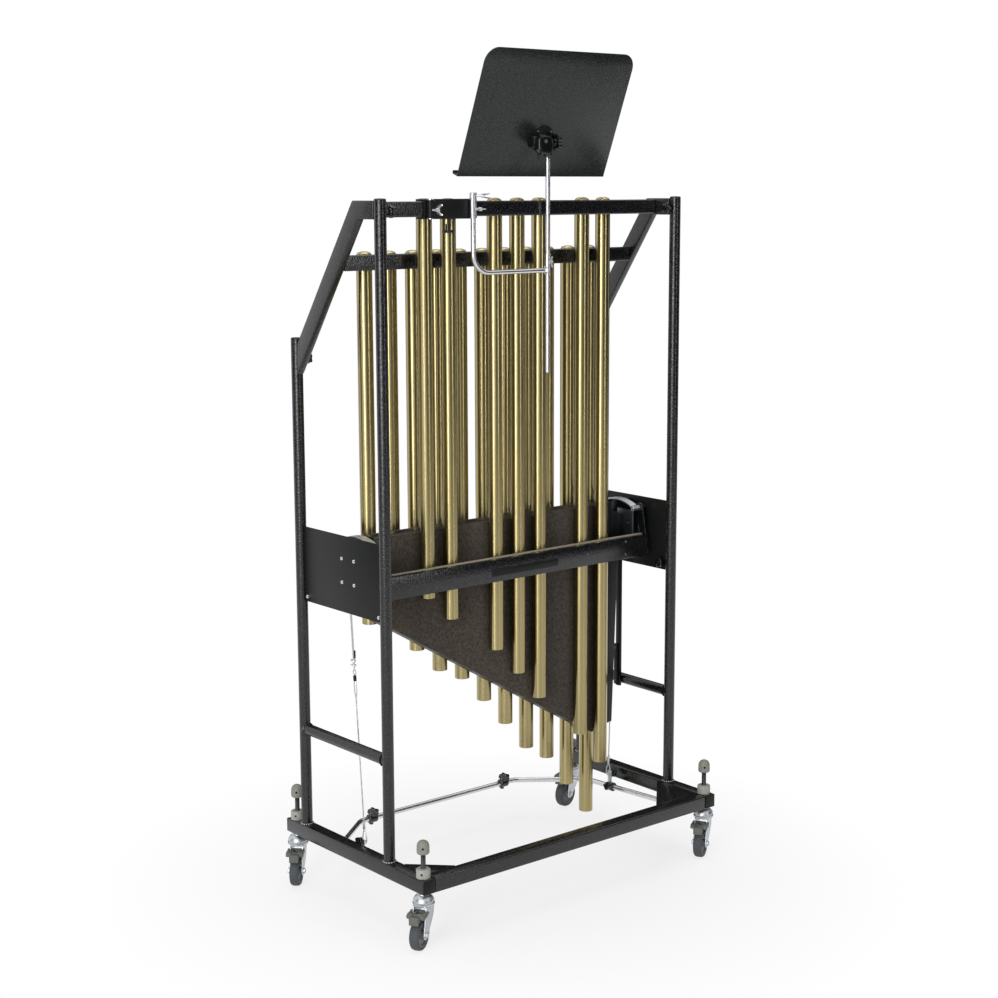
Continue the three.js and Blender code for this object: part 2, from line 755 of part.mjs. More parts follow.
// Rocker on the yoke's pin, with the pin that the cable's upper eye hangs on
function rocker() {
  const outer = plateInner - fit - yokeBlockDepth - rockerPinGap;
  const x = [outer - rockerThickness, outer];
  const angle = rockerRestAngle * degrees;
  const tip = [rockerPivotY + rockerRadius * Math.cos(angle), rockerPivotZ + rockerRadius * Math.sin(angle)];
  const half = rockerArmWidth / 2;
  const side = [-half * Math.sin(angle), half * Math.cos(angle)];
  const arm = prismX([
    [rockerPivotY - side[0], rockerPivotZ - side[1]], [tip[0] - side[0], tip[1] - side[1]],
    [tip[0] + side[0], tip[1] + side[1]], [rockerPivotY + side[0], rockerPivotZ + side[1]],
  ], ...x);
  const cableEnd = cableX.upper - cableDiameter;
  return cut(
    join(
      rod('x', rockerHub / 2, ...x, [rockerPivotY, rockerPivotZ], roundSides), arm,
      rod('x', half, ...x, tip),
      rod('x', cablePinDiameter / 2, cableEnd, x[1] - rockerThickness / 2, tip, pinSides)),
    bore('x', rockerPinDiameter, x[0] - overrun, x[1] + overrun, [rockerPivotY, rockerPivotZ]));
}
placePair('rocker', rocker(), 'zinc');

// Pedal: two arms, two knees and the foot bar from one rod, with pivot bosses and cable lugs
const pedalPivotZ = baseTop - pedalPivotDrop;
const pedalBarZ = baseTop - pedalBarDrop;
const pedalFall = (pedalBarZ - pedalPivotZ) / (pedalKneeY - pedalPivotY);
const lugRodZ = pedalPivotZ + pedalFall * (lugY - pedalPivotY);
const lugPinZ = lugRodZ + lugPinRise;

function pedal() {
  const half = [
    new THREE.Vector3(pedalX, pedalPivotY, pedalPivotZ),
    new THREE.Vector3(pedalX, pedalKneeY, pedalBarZ),
    new THREE.Vector3(pedalBarX, pedalBarY, pedalBarZ),
  ];
  const other = half.map((point) => new THREE.Vector3(-point.x, point.y, point.z)).reverse();
  const route = roundedRoute([...half, ...other], pedalBend, pedalBendSteps);
  let body = bentRod(route, pedalDiameter / 2);
  const holes = [];
  for (const side of [-1, 1]) {
    const middle = side * pedalX;
    const pivot = [pedalPivotY, pedalPivotZ];
    const lugX = side * (cableX.lower + cableDiameter + lugThickness / 2);
    const pinX = [side * (cableX.lower - cableDiameter), lugX];
    body = join(body,
      rod('x', pedalBossDiameter / 2, middle - pedalBossLength / 2, middle + pedalBossLength / 2, pivot),
      rod('y', lugCollar.diameter / 2, lugY - lugCollar.length / 2, lugY + lugCollar.length / 2,
        [middle, lugRodZ]),
      block([lugX - lugThickness / 2, lugX + lugThickness / 2], [lugY - lugWidth / 2, lugY + lugWidth / 2],
        [lugRodZ, lugPinZ + lugWidth / 2]),
      rod('x', cablePinDiameter / 2, Math.min(...pinX), Math.max(...pinX), [lugY, lugPinZ], pinSides));
    holes.push(bore('x', pedalPinDiameter, middle - pedalBossLength, middle + pedalBossLength, pivot));
  }
  return cut(body, ...holes);
}
place('pedal', pedal(), 'chrome');

// Cable from the rocker's pin down to the pedal's lug, an eye at either end
function cable() {
  const angle = rockerRestAngle * degrees;
  const tip = [
    rockerPivotY + rockerRadius * Math.cos(angle),
    rockerPivotZ + rockerRadius * Math.sin(angle),
  ];
  const wire = cableDiameter / 2;
  const offset = cableEye - cablePinDiameter / 2 - cableEyeSlack;
  const upper = new THREE.Vector3(cableX.upper, tip[0], tip[1] - offset);
  const lower = new THREE.Vector3(cableX.lower, lugY, lugPinZ + offset);
  const eye = (centre) => {
    const ring = new THREE.TorusGeometry(cableEye + wire, wire, eyeSides.wire, eyeSides.ring);
    ring.rotateY(Math.PI / 2);
    ring.translate(centre.x, centre.y, centre.z);
    return solidOf(ring);
  };
  const run = lower.clone().sub(upper);
  const reach = cableEye + wire;
  const from = upper.clone().add(run.clone().setLength(reach));
  const to = lower.clone().sub(run.clone().setLength(reach));
  return join(bentRod([from, to], wire, pinSides), eye(upper), eye(lower));
}
placePair('pedal_cable', cable(), 'zinc');

// Levelling spindle with its cross-drilled cap
function spindle() {
  const radius = spindleCap.diameter / 2;
  const foot = baseTop + spindleCap.rise;
  const top = foot + spindleCap.height;
  const screw = spindleDiameter / 2;
  const body = turned([
    [0, forkCrownRise + domeSkirt], [screw, forkCrownRise + domeSkirt], [screw, foot], [radius, foot],
    [radius, top - spindleCap.round], [radius - spindleCap.round, top], [0, top],
  ]);
  const holeZ = foot + spindleCap.height / 2;
  return cut(body, rod('x', tommyHole / 2, -radius - overrun, radius + overrun, [0, holeZ], pinSides));
}

// Fork: dome over the swivel bearing, crown, two tapering legs, axle with its nuts and the brake's pin
function fork() {
  const inside = wheelWidth / 2 + forkGap;
  const outside = inside + forkPlate;
  const domeTop = casterHeight - fit;
  const dome = turned([
    [0, forkCrownRise], [domeRadius, forkCrownRise], [domeRadius, forkCrownRise + domeSkirt],
    [domeRadius - domeSkirt, domeTop - domeSkirt], [domeNeck, domeTop], [0, domeTop],
  ], barSides);
  const crown = forkCrownRise + forkPlate;
  const leg = (side) => prismX([
    [-forkHalfDepth - forkPlate, crown], [-trail - forkEnd, wheelRadius],
    [-trail - forkEnd / 2, wheelRadius - forkEnd], [-trail + forkEnd / 2, wheelRadius - forkEnd],
    [-trail + forkEnd, wheelRadius], [forkHalfDepth, crown - forkEnd], [forkHalfDepth, crown],
  ], ...(side > 0 ? [inside, outside] : [-outside, -inside]));
  const axle = [-trail, wheelRadius];
  const brakePivot = [brakePivotY, brakePivotRise];
  const nutEnd = outside + axleNut.length;
  return cut(
    join(dome, leg(1), leg(-1), rod('x', axleDiameter / 2, -nutEnd, nutEnd, axle),
      rod('x', axleNut.diameter / 2, outside - forkPlate / 2, nutEnd, axle, 6),
      rod('x', axleNut.diameter / 2, -nutEnd, -outside + forkPlate / 2, axle, 6),
      rod('x', brakePinDiameter / 2, -outside, outside, brakePivot, pinSides)),
    bore('z', spindleDiameter, forkCrownRise + domeSkirt - fit, casterHeight + overrun, [0, 0]));
}

// Wheel about its own axle: tyre with rounded shoulders, recessed rim and hub
function wheel() {
  const grow = 1 / Math.cos(Math.PI / wheelSides);
  const half = wheelWidth / 2;
  const hole = (axleDiameter / 2 + fit) * grow;
  const side = [[hole, half], [wheelHub, half], [wheelHub + wheelRecess / 2, half - wheelRecess],
    [wheelRim, half - wheelRecess], [wheelRim + wheelRecess / 2, half - fit]];
  const upper = [...side, [wheelRadius * grow, wheelTread / 2]];
  const lower = upper.map(([r, h]) => [r, -h]).reverse();
  const profile = [...upper, ...lower, upper[0]].reverse();
  const geometry = new THREE.LatheGeometry(profile.map(([r, h]) => new THREE.Vector2(r, h)), wheelSides);
  geometry.rotateY(Math.PI / wheelSides);
  geometry.rotateZ(-Math.PI / 2);
  return solidOf(geometry);
}

// Brake lever: hub on the fork's pin, windowed tab and shoe above the tyre
function brake() {
  const inside = wheelWidth / 2 + forkGap - fit;
  const pivot = [brakePivotY, brakePivotRise];
  const hub = rod('x', brakeHub / 2, -inside, inside, pivot);
  const neck = block([-inside, inside], [-brakeTab.neck, brakePivotY], [brakeTab.from, brakeTab.to]);
  const tab = prismX([
    [-brakeTab.neck - forkEnd, brakeTab.from],
    [-brakeTab.neck - forkEnd, brakeTab.to],
    [-brakeTab.reach, brakeTab.to - brakePinDiameter],
    [-brakeTab.reach, brakeTab.from - brakePinDiameter / 2],
  ], -brakeTab.halfWidth, brakeTab.halfWidth);
  const bridge = block([-inside, inside], [-brakeTab.neck - forkEnd - fit, -brakeTab.neck + fit],
    [brakeTab.from, brakeTab.to]);
  const shoe = block([-brakeShoe.halfWidth, brakeShoe.halfWidth], [-brakeShoe.from, -brakeShoe.to],
    [brakeShoe.foot, brakeTab.to - brakePinDiameter]);
  const window = block([-brakeWindow.halfWidth, brakeWindow.halfWidth],
    [-brakeWindow.from, -brakeWindow.to], [(brakeTab.from + brakeTab.to) / 2, brakeTab.to + overrun]);
  return cut(join(hub, neck, bridge, tab, shoe), window,
    bore('x', brakePinDiameter, -inside - overrun, inside + overrun, pivot, pinSides));
}

const casterParts = { spindle: spindle(), fork: fork(), wheel: wheel(), brake: brake() };
for (const [corner, sideX, y] of [
  ['front_left', -1, casterInset], ['front_right', 1, casterInset],
  ['rear_left', -1, baseDepth - casterInset], ['rear_right', 1, baseDepth - casterInset],
]) {
  const caster = new THREE.Group();
  caster.position.set(sideX * frameX, y, 0);
  bells.add(caster);
  place(`spindle_${corner}`, casterParts.spindle, 'plastic', caster);
  const swivel = new THREE.Group();
  swivel.rotation.z = trailAngle[corner] * degrees;
  caster.add(swivel);
  place(`caster_fork_${corner}`, casterParts.fork, 'zinc', swivel);
  place(`caster_wheel_${corner}`, casterParts.wheel, 'rubber', swivel).position.set(0, -trail, wheelRadius);
  place(`caster_brake_${corner}`, casterParts.brake, 'plastic', swivel);
}

// Saddle over the upper beam, a vertical socket at either end and a screw below
const postY = upperBeamY - fit - saddleWall - armTubeDiameter / 2 - fit;

function deskSaddle() {
  const y = [upperBeamY - fit - saddleWall, upperBeamY + beamDepth + fit];
  const beamZ = [baseTop + upperBeamTop - beamHeight - fit, baseTop + upperBeamTop + fit];
  const z = [beamZ[0] - saddleWall, beamZ[1] + saddleWall];
  const x = [saddleX.from, saddleX.to];
  const wrap = cut(block(x, y, z),
    block([x[0] - overrun, x[1] + overrun], [upperBeamY - fit, y[1] + overrun], beamZ));
  const half = saddleSocket / 2;
  const socketXs = [deskArmX, saddleX.from + (saddleX.to - deskArmX)];
  const sockets = socketXs.map((centre) => block(
    [centre - half, centre + half], [postY - half, y[0] + fit], z));
  const holes = socketXs.map((centre) => bore('z', armTubeDiameter, z[0] - overrun, z[1] + overrun,
    [centre, postY], roundSides));
  const screwY = upperBeamY + beamDepth / 2;
  const foot = z[0] - saddleScrew.length - saddleScrew.bossLength;
  const screws = [
    rod('z', saddleScrew.diameter / 2, foot, z[0] + saddleWall / 2, [saddleScrewX, screwY], pinSides),
    rod('z', saddleScrew.boss / 2, foot, foot + saddleScrew.bossLength, [saddleScrewX, screwY]),
    block([saddleScrewX - saddleScrew.wing / 2, saddleScrewX + saddleScrew.wing / 2],
      [screwY - saddleScrew.diameter / 2, screwY + saddleScrew.diameter / 2],
      [foot - saddleScrew.wingHeight / 2, foot + saddleScrew.wingHeight / 2]),
  ];
  return cut(join(wrap, ...sockets, ...screws), ...holes);
}
place('desk_saddle', deskSaddle(), 'plate');

// Bent arm: a post in the saddle's socket, a level run and the sleeve that holds the mast
function deskArm() {
  const armZ = baseTop + deskArmDrop;
  const route = roundedRoute([
    new THREE.Vector3(deskArmX, postY, baseTop + deskArmTop),
    new THREE.Vector3(deskArmX, postY, armZ),
    new THREE.Vector3(deskMastX, postY, armZ),
  ], deskArmBend, deskArmSteps);
  const z = [baseTop + deskSleeve.from, baseTop + deskSleeve.to];
  const sleeve = rod('z', deskSleeve.diameter / 2, ...z, [deskMastX, postY], roundSides);
  return cut(join(bentRod(route, armTubeDiameter / 2), sleeve),
    bore('z', mastDiameter, z[0] - overrun, z[1] + overrun, [deskMastX, postY], roundSides));
}
place('desk_arm', deskArm(), 'chrome');

function deskMast() {
  return rod('z', mastDiameter / 2, baseTop + mastFoot, baseTop + mastTop, [deskMastX, postY], roundSides);
}
place('desk_mast', deskMast(), 'chrome');

// Tilting head on the mast: socket, cheek and the big hand knob
function deskHead() {
  const z = [baseTop + headBlock.from, baseTop + headBlock.to];
  const pivot = [postY, baseTop + headPivotRise];
  const half = headBlock.width / 2;
  const socket = rod('z', headBlock.diameter / 2, ...z, [deskMastX, postY], roundSides);
  const cheek = block([deskMastX - half, deskMastX + half], [postY - half, postY + half],
    [baseTop + mastTop, pivot[1]]);
  const eye = rod('x', half, deskMastX - half, deskMastX + half, pivot, roundSides);
  const reach = half + fit + deskLugThickness + fit;
  const pinX = [deskMastX - reach, deskMastX + reach];
  const pin = rod('x', headPinDiameter / 2, pinX[0] - knobHeight / 2, pinX[1] + knobHeight / 2, pivot,
    pinSides);
  const knob = starKnob(knobDiameter, knobHeight);
  knob.rotateY(-Math.PI / 2);
  knob.translate(pinX[0], ...pivot);
  const socketBore = bore('z', mastDiameter, z[0] - overrun, baseTop + mastTop + fit,
    [deskMastX, postY], roundSides);
  return cut(join(socket, cheek, eye, pin, solidOf(knob)), socketBore);
}
place('desk_head', deskHead(), 'plate');

// Desk: rounded sheet with a turned-up ledge on the player's side and two lugs on its back
function musicDesk() {
  const half = deskWidth / 2;
  const outline = [[-half, 0], [half, 0]];
  for (const side of [1, -1]) {
    for (let step = 0; step <= deskCornerSteps; step += 1) {
      const share = side > 0 ? step / deskCornerSteps : 1 - step / deskCornerSteps;
      const angle = (Math.PI / 2) * share;
      outline.push([
        side * (half - deskCorner + deskCorner * Math.cos(angle)),
        deskHeight - deskCorner + deskCorner * Math.sin(angle),
      ]);
    }
  }
  const sheet = prismY(outline, 0, deskSheet);
  const ledge = prismX([
    [0, 0], [deskLedge, 0], [deskLedge, deskLip], [deskLedge - deskSheet, deskLip],
    [deskLedge - deskSheet, deskSheet], [deskSheet + deskFold, deskSheet], [deskSheet, deskSheet + deskFold],
    [0, deskSheet + deskFold],
  ], -half, half);
  const lugX = headBlock.width / 2 + fit;
  const lugs = [-1, 1].map((side) => {
    const x = side > 0 ? [lugX, lugX + deskLugThickness] : [-lugX - deskLugThickness, -lugX];
    return join(
      block(x, [-deskSetback, deskSheet / 2],
        [deskPivotUp - deskLugHalfHeight, deskPivotUp + deskLugHalfHeight]),
      rod('x', deskLugHalfHeight, ...x, [-deskSetback, deskPivotUp]));
  });
  const hole = bore('x', headPinDiameter, -half, half, [-deskSetback, deskPivotUp], pinSides);
  return cut(join(sheet, ledge, ...lugs), hole);
}
const deskTilt = new THREE.Group();
deskTilt.position.set(deskMastX, postY, baseTop + headPivotRise);
deskTilt.rotation.x = deskLean * degrees;
bells.add(deskTilt);
place('music_desk', musicDesk(), 'desk', deskTilt).position.set(0, deskSetback, -deskPivotUp);

// The origin is on the floor, below the middle of the whole object's box
bells.updateMatrixWorld(true);
const middle = new THREE.Box3().setFromObject(bells, true).getCenter(new THREE.Vector3());
bells.position.set(-middle.x, -middle.y, 0);

export default bells;
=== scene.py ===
import math

import bmesh
import bpy
from mathutils import Matrix, Vector

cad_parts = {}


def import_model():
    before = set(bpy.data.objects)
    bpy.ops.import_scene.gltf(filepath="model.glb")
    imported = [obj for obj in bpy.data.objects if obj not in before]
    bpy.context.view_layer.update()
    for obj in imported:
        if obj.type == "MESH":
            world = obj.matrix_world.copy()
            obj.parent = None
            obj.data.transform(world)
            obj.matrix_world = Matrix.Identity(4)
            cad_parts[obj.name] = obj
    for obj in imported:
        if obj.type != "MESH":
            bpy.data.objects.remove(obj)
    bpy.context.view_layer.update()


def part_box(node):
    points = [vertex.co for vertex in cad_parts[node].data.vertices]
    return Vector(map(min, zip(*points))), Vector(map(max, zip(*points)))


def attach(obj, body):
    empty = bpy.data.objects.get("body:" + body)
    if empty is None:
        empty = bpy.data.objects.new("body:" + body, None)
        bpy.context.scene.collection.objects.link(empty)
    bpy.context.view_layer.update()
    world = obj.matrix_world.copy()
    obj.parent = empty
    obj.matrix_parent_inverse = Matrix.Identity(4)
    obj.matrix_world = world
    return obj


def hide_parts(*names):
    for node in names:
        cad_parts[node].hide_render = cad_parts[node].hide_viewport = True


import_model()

# Tubular bells on a rolling frame. Lengths are metres, +Z up, played from +Y and seen from -Y.
# Places are measured from the base: x from its middle, y from the front rail's face and z from
# the rail tops. A sign is -1 on the left side and 1 on the right.

side_left, side_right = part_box("side_frame_left"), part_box("side_frame_right")
front_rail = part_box("front_rail")
BASE_X = (side_left[0].x + side_right[1].x) / 2
BASE_Y = front_rail[0].y
RAIL_TOP = front_rail[1].z
HALF = (side_right[1].x - side_left[0].x) / 2
DEPTH = side_left[1].y - side_left[0].y
RAIL = front_rail[1].z - front_rail[0].z
FRAME_X = HALF - RAIL / 2  # middle plane of a side frame
RAIL_INNER = FRAME_X - RAIL / 2
SIDES = {"left": -1, "right": 1}
UP, ALONG, BACK = Vector((0, 0, 1)), Vector((1, 0, 0)), Vector((0, 1, 0))
FIT = 0.0003  # gap between parts that touch


def at(x, y, z):
    return Vector((BASE_X + x, BASE_Y + y, RAIL_TOP + z))


def in_scene(name, data):
    made = bpy.data.objects.new(name, data)
    bpy.context.scene.collection.objects.link(made)
    return made


# Camera, solved from the corners of the frame in the photograph
CAMERA_PLACE = at(-2.9040, -3.1994, 1.5783)
CAMERA_YAW, CAMERA_PITCH, CAMERA_ROLL = math.radians(39.637), math.radians(9.637), -0.0038
FOCAL_PIXELS, IMAGE_PIXELS, SENSOR = 1822.09, 998, 36


def make_camera():
    data = bpy.data.cameras.new("camera")
    data.sensor_width = SENSOR
    data.lens = SENSOR * FOCAL_PIXELS / IMAGE_PIXELS
    camera = in_scene("camera", data)
    bpy.context.scene.camera = camera
    ahead = Vector((math.sin(CAMERA_YAW) * math.cos(CAMERA_PITCH),
                    math.cos(CAMERA_YAW) * math.cos(CAMERA_PITCH), -math.sin(CAMERA_PITCH)))
    right = Vector((math.cos(CAMERA_YAW), -math.sin(CAMERA_YAW), 0))
    up = right.cross(ahead)
    turn, lift = math.cos(CAMERA_ROLL), math.sin(CAMERA_ROLL)
    axes = Matrix((right * turn + up * lift, up * turn - right * lift, -ahead)).transposed()
    camera.matrix_world = Matrix.Translation(CAMERA_PLACE) @ axes.to_4x4()


make_camera()


# Materials

def shader_of(material):
    return material.node_tree.nodes["Principled BSDF"]


def blank(name, color, metallic=0.0, roughness=0.5, **sockets):
    material = bpy.data.materials.new(name)
    material.use_nodes = True
    inputs = shader_of(material).inputs
    inputs["Base Color"].default_value = (*color, 1)
    inputs["Metallic"].default_value = metallic
    inputs["Roughness"].default_value = roughness
    for socket, value in sockets.items():
        inputs[socket.replace("_", " ")].default_value = value
    return material


def node(owner, kind, **values):
    """A new node of a material or world, with its sockets and settings."""
    made = owner.node_tree.nodes.new(kind)
    for key, value in values.items():
        if key in made.inputs:
            made.inputs[key].default_value = value
        else:
            setattr(made, key, value)
    return made


def link(owner, output, target):
    owner.node_tree.links.new(output, target)


def pattern(material, kind, stretch=(1, 1, 1), **values):
    place = node(material, "ShaderNodeTexCoord")
    scaled = node(material, "ShaderNodeMapping", Scale=stretch)
    texture = node(material, kind, **values)
    link(material, place.outputs["Object"], scaled.inputs["Vector"])
    link(material, scaled.outputs["Vector"], texture.inputs["Vector"])
    return texture


def bumped(material, height, depth, strength=1.0):
    """Add relief over whatever relief the material has already."""
    bump = node(material, "ShaderNodeBump", Strength=strength, Distance=depth)
    normal = shader_of(material).inputs["Normal"]
    if normal.links:
        link(material, normal.links[0].from_socket, bump.inputs["Normal"])
    link(material, height, bump.inputs["Height"])
    link(material, bump.outputs["Normal"], normal)


def ranged(material, value, low, high, from_low=0.0, from_high=1.0):
    span = node(material, "ShaderNodeMapRange")
    ends = {"From Min": from_low, "From Max": from_high, "To Min": low, "To Max": high}
    for socket, end in ends.items():
        span.inputs[socket].default_value = end
    link(material, value, span.inputs["Value"])
    return span.outputs["Result"]


def roughened(material, value, low, high):
    link(material, ranged(material, value, low, high), shader_of(material).inputs["Roughness"])


def tinted(material, value, dark, light, low=0.3, high=0.7):
    ramp = node(material, "ShaderNodeValToRGB")
    stops = ramp.color_ramp.elements
    stops[0].position, stops[0].color = low, (*dark, 1)
    stops[1].position, stops[1].color = high, (*light, 1)
    link(material, value, ramp.inputs["Fac"])
    link(material, ramp.outputs["Color"], shader_of(material).inputs["Base Color"])


def hammered(name, dark, light, scale, gloss):
    """Hammer-finish enamel: close hammer dents, and a slower drift of height and gloss. The rims of
    the dents are coloured lighter, as painted speckle highlight over the enamel's own fleck.
    """
    depth = 0.0003
    material = blank(name, light, roughness=0.2, Specular_IOR_Level=gloss)
    dimples_and_glints = pattern(material, "ShaderNodeTexVoronoi", Scale=scale, feature="SMOOTH_F1",
                      Smoothness=0.6)
    drift = pattern(material, "ShaderNodeTexNoise", Scale=scale * 0.35, Detail=3.0)
    # painted speckle highlight: the rims of the dents take the light colour, over the finish's own
    # fleck
    tinted(material, dimples_and_glints.outputs["Distance"], dark, light)
    bumped(material, dimples_and_glints.outputs["Distance"], depth)
    bumped(material, drift.outputs["Fac"], depth * 0.8)
    roughened(material, drift.outputs["Fac"], 0.13, 0.27)
    return material


def satin_brass():
    material = blank("satin_brass", (0.40, 0.33, 0.145), metallic=1.0, roughness=0.26,
                     Anisotropic=0.7, Coat_Weight=0.45, Coat_Roughness=0.14)
    upright = node(material, "ShaderNodeCombineXYZ", Z=1.0)
    link(material, upright.outputs["Vector"], shader_of(material).inputs["Tangent"])
    cloud = pattern(material, "ShaderNodeTexNoise", (1, 1, 0.3), Scale=11.0, Detail=2.0)
    tinted(material, cloud.outputs["Fac"], (0.355, 0.295, 0.135), (0.415, 0.345, 0.160))
    roughened(material, cloud.outputs["Fac"], 0.23, 0.29)
    return material


def plated(name, color, roughness, grain):
    material = blank(name, color, metallic=1.0, roughness=roughness)
    wear = pattern(material, "ShaderNodeTexNoise", Scale=85.0, Detail=4.0)
    roughened(material, wear.outputs["Fac"], roughness * 0.7, roughness * 1.5)
    bumped(material, wear.outputs["Fac"], grain, 0.6)
    return material


def wool_felt(name, dark, light):
    material = blank(name, light, roughness=0.95, Sheen_Weight=0.12, Specular_IOR_Level=0.15)
    fibres = pattern(material, "ShaderNodeTexNoise", (1, 1, 1.4), Scale=520.0, Detail=8.0,
                     Roughness=0.75)
    mottle = pattern(material, "ShaderNodeTexNoise", Scale=120.0, Detail=8.0, Roughness=0.85)
    tufts = pattern(material, "ShaderNodeTexVoronoi", Scale=900.0)
    tinted(material, mottle.outputs["Fac"], dark, light, 0.38, 0.64)
    bumped(material, fibres.outputs["Fac"], 0.0008)
    bumped(material, tufts.outputs["Distance"], 0.0003, 0.7)
    return material


def moulded(name, color, roughness, gloss=0.3):
    material = blank(name, color, roughness=roughness, Specular_IOR_Level=gloss)
    pebble = pattern(material, "ShaderNodeTexNoise", Scale=700.0, Detail=3.0)
    shade = pattern(material, "ShaderNodeTexNoise", Scale=30.0, Detail=2.0)
    tinted(material, shade.outputs["Fac"], tuple(0.88 * part for part in color), color)
    bumped(material, pebble.outputs["Fac"], 0.00006, 0.7)
    return material


SOOT = (0.006, 0.0065, 0.007)
# The light colour of each hammer finish is painted speckle highlight on the rims of its dents, over
# the enamel's own fleck.
ENAMEL = hammered("black_enamel", (0.001, 0.001, 0.0015), (0.020, 0.021, 0.023), 300.0, 0.55)
DESK_ENAMEL = hammered("desk_enamel", (0.007, 0.009, 0.009), (0.038, 0.044, 0.043), 420.0, 0.3)
BLACK = moulded("satin_black", SOOT, 0.42, gloss=0.25)
GLOSS = moulded("gloss_black", SOOT, 0.16, gloss=0.6)
BRASS = satin_brass()
CHROME = plated("chrome", (0.66, 0.66, 0.70), 0.19, 0.000001)
DULL_ZINC = plated("dull_zinc", (0.17, 0.19, 0.22), 0.34, 0.00002)
ZINC = plated("zinc", (0.56, 0.59, 0.62), 0.38, 0.00002)
BEAD = plated("weld_bead", (0.30, 0.30, 0.30), 0.16, 0.00006)
STEEL = plated("dark_steel", (0.13, 0.13, 0.14), 0.34, 0.00004)
FELT = wool_felt("wool_felt", (0.036, 0.029, 0.023), (0.118, 0.100, 0.081))
PALE_FELT = wool_felt("pale_felt", (0.27, 0.24, 0.17), (0.44, 0.40, 0.30))
RUBBER = moulded("wheel_rubber", (0.085, 0.092, 0.098), 0.62)
HUB = moulded("hub_plastic", (0.18, 0.19, 0.20), 0.45)
GREY = moulded("olive_grey_plastic", (0.155, 0.16, 0.145), 0.5)
CAP_GREY = moulded("cap_grey", (0.29, 0.29, 0.25), 0.42)
PALE = moulded("pale_grey_metal", (0.43, 0.43, 0.40), 0.4)

SHARP = math.radians(32)  # edges that turn by more are shaded sharp


# Shapes

def meshes(count):
    return [bmesh.new() for made in range(count)]


def mesh_object(name, mesh):
    data = bpy.data.meshes.new(name)
    mesh.to_mesh(data)
    mesh.free()
    return in_scene(name, data)


def piece(name, mesh, material, body="frame", stands_for=()):
    bmesh.ops.recalc_face_normals(mesh, faces=mesh.faces)
    made = mesh_object(name, mesh)
    made.data.shade_smooth()
    made.data.set_sharp_from_angle(angle=SHARP)
    made.data.materials.append(material)
    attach(made, body)
    if stands_for:
        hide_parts(*stands_for)
    return made


def soften(mesh, verts, width, segments):
    """Round every edge that meets these vertices."""
    edges = list(dict.fromkeys(edge for vert in verts for edge in vert.link_edges))
    bmesh.ops.bevel(mesh, geom=edges, offset=width, offset_type="OFFSET", affect="EDGES",
                    segments=segments, profile=0.5, material=-1, clamp_overlap=True)


def block(mesh, x, y, z, soft, segments=2):
    """A box over three ranges."""
    low, high = at(min(x), min(y), min(z)), at(max(x), max(y), max(z))
    shape = Matrix.Translation((low + high) / 2) @ Matrix.Diagonal((*(high - low), 1))
    soften(mesh, bmesh.ops.create_cube(mesh, size=1, matrix=shape)["verts"], soft, segments)


def facing(place, axis):
    return Matrix.Translation(place) @ axis.to_track_quat("Z", "Y").to_matrix().to_4x4()


def turned(mesh, profile, place, axis, sides):
    """Turn a profile of (radius, height) about an axis."""
    turn = facing(place, axis)
    verts = [mesh.verts.new(turn @ Vector((radius, 0, height))) for radius, height in profile]
    edges = [mesh.edges.new(pair) for pair in zip(verts, verts[1:])]
    bmesh.ops.spin(mesh, geom=verts + edges, cent=place, axis=axis, angle=math.tau, steps=sides,
                   use_merge=True, use_normal_flip=False, use_duplicate=False)
    bmesh.ops.remove_doubles(mesh, verts=mesh.verts, dist=0.000001)


def ringed(mesh, profile, place, axis, sides):
    """Turn a profile that closes on itself, as for a sleeve or a tyre."""
    turned(mesh, [*profile, profile[0]], place, axis, sides)


def rod(mesh, start, end, radius, sides, soft=0.0):
    length = (end - start).length
    profile = [(0, 0), (radius, 0), (radius, length), (0, length)]
    if soft:
        profile[1:3] = [(radius - soft, 0), (radius, soft), (radius, length - soft),
                        (radius - soft, length)]
    turned(mesh, profile, start, (end - start).normalized(), sides)


def rod_along(mesh, sign, x, y, z, radius, sides, soft=0.0):
    """A rod along x between two distances from the middle, on one side."""
    rod(mesh, at(sign * x[0], y, z), at(sign * x[1], y, z), radius, sides, soft)


def arc(centre, radius, start, end, steps):
    angles = [start + (end - start) * step / steps for step in range(steps + 1)]
    return [(centre[0] + radius * math.cos(angle), centre[1] + radius * math.sin(angle))
            for angle in angles]


def bend(corners, radius, steps):
    """A route through these corners, rounded at each."""
    route = [corners[0]]
    for before, corner, after in zip(corners, corners[1:], corners[2:]):
        into, out = (before - corner).normalized(), (after - corner).normalized()
        half = into.angle(out) / 2
        centre = corner + (into + out).normalized() * (radius / math.sin(half))
        reach = radius / math.tan(half)
        first, last = corner + into * reach - centre, corner + out * reach - centre
        route += [centre + first.slerp(last, step / steps).normalized() * radius
                  for step in range(steps + 1)]
    return [*route, corners[-1]]


def swept(mesh, route, radius, sides):
    """A round bar along a route, its rings turned half way between their neighbours."""
    heading = (route[1] - route[0]).normalized()
    ring = bmesh.ops.create_circle(mesh, cap_ends=True, radius=radius, segments=sides,
                                   matrix=facing(route[0], heading))["verts"]
    for place, (here, there) in enumerate(zip(route, route[1:])):
        edges = list(dict.fromkeys(
            edge for vert in ring for edge in vert.link_edges
            if edge.other_vert(vert) in ring and len(edge.link_faces) < 2))
        made = bmesh.ops.extrude_edge_only(mesh, edges=edges)["geom"]
        ring = [item for item in made if isinstance(item, bmesh.types.BMVert)]
        after = (route[place + 2] - there).normalized() if place + 2 < len(route) else heading
        new = (heading + after).normalized()
        old = (there - here).normalized() if place == 0 else tangent
        bmesh.ops.translate(mesh, verts=ring, vec=there - here)
        bmesh.ops.rotate(mesh, verts=ring, cent=there,
                         matrix=old.rotation_difference(new).to_matrix())
        heading, tangent = after, new
    bmesh.ops.contextual_create(mesh, geom=ring)


